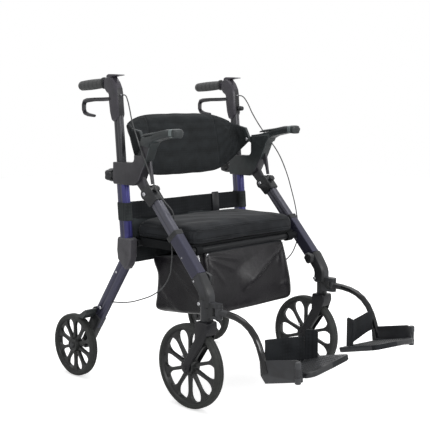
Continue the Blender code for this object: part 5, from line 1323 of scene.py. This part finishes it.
class StrapsOperator(bpy.types.Operator):
    """Back strap with its loops and adjuster, the hanging cloth panel and the heel straps"""
    bl_idname = "rollator.straps"
    bl_label = "Straps"

    def execute(self, context):
        strap = dress(self.band(), "rear_frame", "webbing", "back_strap")
        for name, side in SIDES:
            dress(self.loop(name, side), "rear_frame", "loop")
        # The panel's cloth carries painted light, as it hangs in shade
        panel = dress(self.panel(), "rear_frame", "panel_cloth")
        for z in (0.5285, 0.5695):
            path = [at(x, upright_at(z) - 0.0016 + strap_wave(x), z) for x in np.linspace(-0.236, 0.236, 33)]
            dress(rod("strap_stitch_%d" % round(z * 1000), path, 0.00055, False, 2, 1), "rear_frame", "cloth")
        self.adjuster()
        for name, side in SIDES:
            self.heel(name, side)
        return {"FINISHED"}

    def band(self):
        """Webbing between the uprights, a little slack."""
        rows = [
            [
                at(x, upright_at(z) + strap_wave(x) + 0.0008 * math.sin((z - STRAP_LOW) * 110.0), z)
                for x in np.linspace(-0.2430, 0.2430, 61)
            ]
            for z in np.linspace(STRAP_LOW, STRAP_HIGH, 9)
        ]
        return shell("back_webbing", rows, False, 0.0019, 1)

    def loop(self, name, side):
        """The end of the webbing, sewn round the upright."""
        rows = [
            loop_at(side * UPRIGHT_X, upright_at(z), z, 0.0145, 0.0211, 0.0090, 5, 6)
            for z in np.linspace(STRAP_LOW, STRAP_HIGH, 7)
        ]
        return shell("strap_loop." + name, rows, True, 0.0017, 1)

    def panel(self):
        """Cloth that hangs below the webbing, with soft folds towards its free edge."""
        top = 0.5250
        rows = []
        for z in np.linspace(0.387, top, 23):
            row = []
            for x in np.linspace(-0.2365, 0.140, 57):
                folds = 0.0045 * math.sin(x * 46.0 + 0.6) + 0.002 * math.sin(x * 97.0)
                row.append(at(x, upright_at(STRAP_LOW) + 0.0016 + (top - z) / 0.138 * folds, z))
            rows.append(row)
        return shell("rear_panel", rows, False, 0.0011, 1)

    def adjuster(self):
        """Three-bar slide on the webbing."""
        rows = []
        for z in (0.5170, 0.5190, 0.5800, 0.5820):
            trim = 0.0 if 0.5180 < z < 0.5810 else 0.0008
            rows.append(loop_at(0.134, upright_at(z) - 0.0046, z, 0.0150 - trim, 0.0026 - trim, 0.0016, 3, 3))
        slide = edited(
            shell("strap_slide", rows, True), (bpy.ops.mesh.select_all, {"action": "DESELECT"}),
            (bpy.ops.mesh.select_non_manifold, {}), (bpy.ops.mesh.fill, {}),
        )
        dress(slide, "rear_frame", "plastic")

    def heel(self, name, side):
        """Webbing behind the heel, from the arm to the post."""
        rows = []
        for level in np.linspace(0.0, 1.0, 7):
            row = []
            for share in np.linspace(0.0, 1.0, 25):
                x = side * (HEEL_ARM_X + (HEEL_POST_X - HEEL_ARM_X) * share)
                y = -0.7680 - 0.0180 * share + 0.005 * math.sin(math.pi * share)
                low, high = 0.188 - 0.023 * share, 0.251 - 0.014 * share
                wave = 0.0012 * math.sin(level * 7.0 + share * 9.0)
                row.append(at(x, y + wave, low + (high - low) * level))
            rows.append(row)
        obj = shell("heel_webbing." + name, rows, False, 0.0018, 1)
        dress(obj, "footrest_" + name, "webbing", "heel_strap_" + name)
        obj.parent = None
        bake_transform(obj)


def strap_wave(x):
    """Slack of the webbing across the object."""
    return 0.0022 * math.sin(x * 19.0 + 0.4) + 0.0010 * math.sin(x * 47.0)


class FootrestsOperator(bpy.types.Operator):
    """Swing-away footrest arms with their guards, and hinged footplates with studded treads"""
    bl_idname = "rollator.footrests"
    bl_label = "Footrests"

    def execute(self, context):
        for name, side in SIDES:
            arm = rounded("footrest_arm_" + name, "gloss_steel", 0.0010, 2, 30.0)
            dress_faces(arm, "guard", self.guarded)
            plate = rounded("footplate_" + name, "plastic", 0.0012, 3)
            dress_faces(plate, "webbing", lambda middle, normal: middle.z > 0.1850 and abs(middle.x) < 0.1400)
            profile = mirrored((
                (-0.0290, 0.0), (-0.0290, 0.0066), (-0.0275, 0.0082), (-0.0120, 0.0086), (-0.0116, 0.0074),
            ))
            hinge = at(side * 0.2660, -0.8970, 0.1900)
            knuckle = turned_piece("hinge_knuckle." + name, profile, hinge, (0, 0, 1), 24)
            dress(knuckle, "footrest_" + name, "guard")
            self.studs(name, side)
        return {"FINISHED"}

    def guarded(self, middle, normal):
        """Whether a face belongs to the guard at the toe or to the hinge at the leg."""
        y = middle.y - REAR_AXLE_Y
        return middle.z < 0.2150 and y < -0.7900 or y > -0.6350

    def studs(self, name, side):
        """Rows of small domes on the tread, which is the widest face of the plate that looks up."""
        plate = frame["nodes"]["footplate_" + name]
        turned = plate.matrix_world.to_3x3()
        tread = [
            face for face in plate.data.polygons
            if (plate.matrix_world @ face.center).y < REAR_AXLE_Y - 0.8000 and (turned @ face.normal).z > 0.8
        ]
        widest = max(tread, key=lambda face: face.area)
        normal = (turned @ widest.normal).normalized()
        level = (plate.matrix_world @ widest.center).dot(normal)
        forward = Vector((0.0, -normal.z, normal.y)).normalized()
        inward = Vector((-side, 0.0, 0.0))
        toward = (inward - normal * normal.dot(inward)).normalized()
        corner = at(side * 0.2445, -0.776, 0.1565)
        dome = ((-0.0006, 0.0), (-0.0006, 0.0030), (0.0006, 0.0027), (0.0012, 0.0018), (0.0014, 0.0))
        stud = turned_piece("stud_shape", dome, (0, 0, 0), normal, 8)
        parts = []
        for row in range(11):
            for column in range(13):
                across = 0.020 + column * 0.0122 + (0.0061 if row % 2 else 0.0)
                if across > 0.172:
                    continue
                place = corner + forward * (0.018 + row * 0.0112) + toward * across
                place += normal * (level - place.dot(normal))
                parts.append(moved_copy(stud, "stud", Matrix.Translation(place)))
        bpy.data.objects.remove(stud)
        first = parts.pop()
        first.name = "tread_studs." + name
        joined(first, parts)
        smooth(first, 50.0)
        dress(first, "footplate_" + name, "wheel")


class CablesOperator(bpy.types.Operator):
    """Brake cables from the handle heads along the front legs to the brake shoes"""
    bl_idname = "rollator.cables"
    bl_label = "Brake cables"

    def execute(self, context):
        for name, route in (("left", CABLE_LEFT), ("right", CABLE_RIGHT)):
            points = [at(*p) for p in route]
            upper, lower = [next(i for i, p in enumerate(route) if p[2] < height) for height in CABLE_SPLITS]
            stretches = (
                ("upper", points[:upper + 1], "handle_" + name, "rear_frame", 3, upper),
                ("leg", points[upper:lower + 1], "rear_frame", "front_frame", upper + 2, upper + 4),
                ("lower", points[lower:], "front_frame", "rear_frame", lower + 1, len(points) - 2),
            )
            for tag, path, first, second, start, end in stretches:
                obj = rod("cable_%s.%s" % (tag, name), path, CABLE_RADIUS, False, 6)
                dress(obj, first, "sheath", "brake_cable_" + name)
                obj.parent = None
                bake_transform(obj)
        return {"FINISHED"}


class StageOperator(bpy.types.Operator):
    """Pale floor, soft studio light and the camera at the photograph's angle"""
    bl_idname = "rollator.stage"
    bl_label = "Stage"

    def execute(self, context):
        scene = bpy.context.scene
        bpy.ops.object.select_all(action="DESELECT")
        bpy.ops.mesh.primitive_plane_add(size=14.0, location=(0, 0, -0.0004))
        floor = bpy.context.object
        floor.name = "floor"
        bpy.ops.object.transform_apply(location=True, rotation=True, scale=True)
        floor.data.materials.append(self.paper())
        self.lamp("key_softbox", (-1.9, -2.6, 1.75), 0.9, 26.0)
        self.lamp("front_softbox", (1.2, -2.9, 1.9), 1.4, 34.0)
        self.lamp("top_softbox", (0.3, 0.3, 3.0), 2.4, 46.0)
        world = bpy.data.worlds.new("studio")
        scene.world = world
        world.use_nodes = True
        tree = world.node_tree
        tree.nodes.clear()
        path = add_node(tree, "ShaderNodeLightPath")
        seen = combined(tree, "MAXIMUM", path.outputs["Is Camera Ray"], path.outputs["Is Glossy Ray"])
        seen = combined(tree, "MAXIMUM", seen, path.outputs["Is Transmission Ray"])
        level = add_node(tree, "ShaderNodeMapRange", [(seen, "Value")], [("To Min", 0.50), ("To Max", 1.0)])
        light = add_node(
            tree, "ShaderNodeBackground", [(level.outputs["Result"], "Strength")], [("Color", (1, 1, 1, 1))],
        )
        add_node(tree, "ShaderNodeOutputWorld", [(light.outputs["Background"], "Surface")])
        turn = [math.radians(value) for value in CAMERA_TURN]
        bpy.ops.object.camera_add(location=CAMERA_PLACE, rotation=turn)
        camera = bpy.context.object
        camera.name = "camera"
        camera.data.lens = CAMERA_LENS
        camera.data.sensor_width = 36.0
        camera.data.clip_end = 50.0
        scene.camera = camera
        scene.view_settings.view_transform = "Standard"
        return {"FINISHED"}

    def lamp(self, name, place, size, power):
        bpy.ops.object.light_add(type="AREA", location=place)
        lamp = bpy.context.object
        lamp.name = name
        lamp.data.size = size
        lamp.data.energy = power
        aim = Vector((0.0, -0.05, 0.45)) - Vector(place)
        lamp.rotation_euler = aim.to_track_quat("-Z", "Y").to_euler()

    def paper(self):
        """White seamless paper that keeps the shadow under the wheels."""
        made, tree, shader, place = new_material("white_paper", "F4F4F4", 0.9, 0.0, 1.45)
        grain = noise(tree, place, 900.0, 2.0)
        tint = ramp(tree, grain, ((0.3, "F2F2F2"), (0.7, "F7F7F7")))
        tree.links.new(tint, shader.inputs["Base Color"])
        path = add_node(tree, "ShaderNodeLightPath")
        tree.links.new(path.outputs["Is Camera Ray"], shader.inputs["Emission Strength"])
        shader.inputs["Emission Color"].default_value = (0.57, 0.57, 0.57, 1.0)
        return made


OPERATORS = (
    HandlesOperator, SideFramesOperator, FrontFrameOperator, WheelsOperator, BackBandOperator, SeatOperator,
    BagOperator, StrapsOperator, FootrestsOperator, CablesOperator, StageOperator,
)


class RollatorPanel(bpy.types.Panel):
    """Lists the rollator's pieces and its sizes"""
    bl_idname = "VIEW3D_PT_rollator"
    bl_label = "Rollator"
    bl_space_type = "VIEW_3D"
    bl_region_type = "UI"
    bl_category = "Rollator"

    def draw(self, context):
        column = self.layout.column()
        for key in RollatorSettings.__annotations__:
            column.prop(context.scene.rollator, key)
        for operator in OPERATORS:
            column.operator(operator.bl_idname)


CLASSES = (RollatorSettings,) + OPERATORS + (RollatorPanel,)


def register():
    for item in CLASSES:
        bpy.utils.register_class(item)
    bpy.types.Scene.rollator = bpy.props.PointerProperty(type=RollatorSettings)


def unregister():
    del bpy.types.Scene.rollator
    for item in reversed(CLASSES):
        bpy.utils.unregister_class(item)


def main():
    register()
    bpy.ops.rollator.stage()
    bpy.ops.rollator.handles()
    bpy.ops.rollator.side_frames()
    bpy.ops.rollator.front_frame()
    bpy.ops.rollator.wheels()
    bpy.ops.rollator.back_band()
    bpy.ops.rollator.seat()
    bpy.ops.rollator.bag()
    bpy.ops.rollator.straps()
    bpy.ops.rollator.footrests()
    bpy.ops.rollator.cables()


if __name__ == "__main__":
    main()
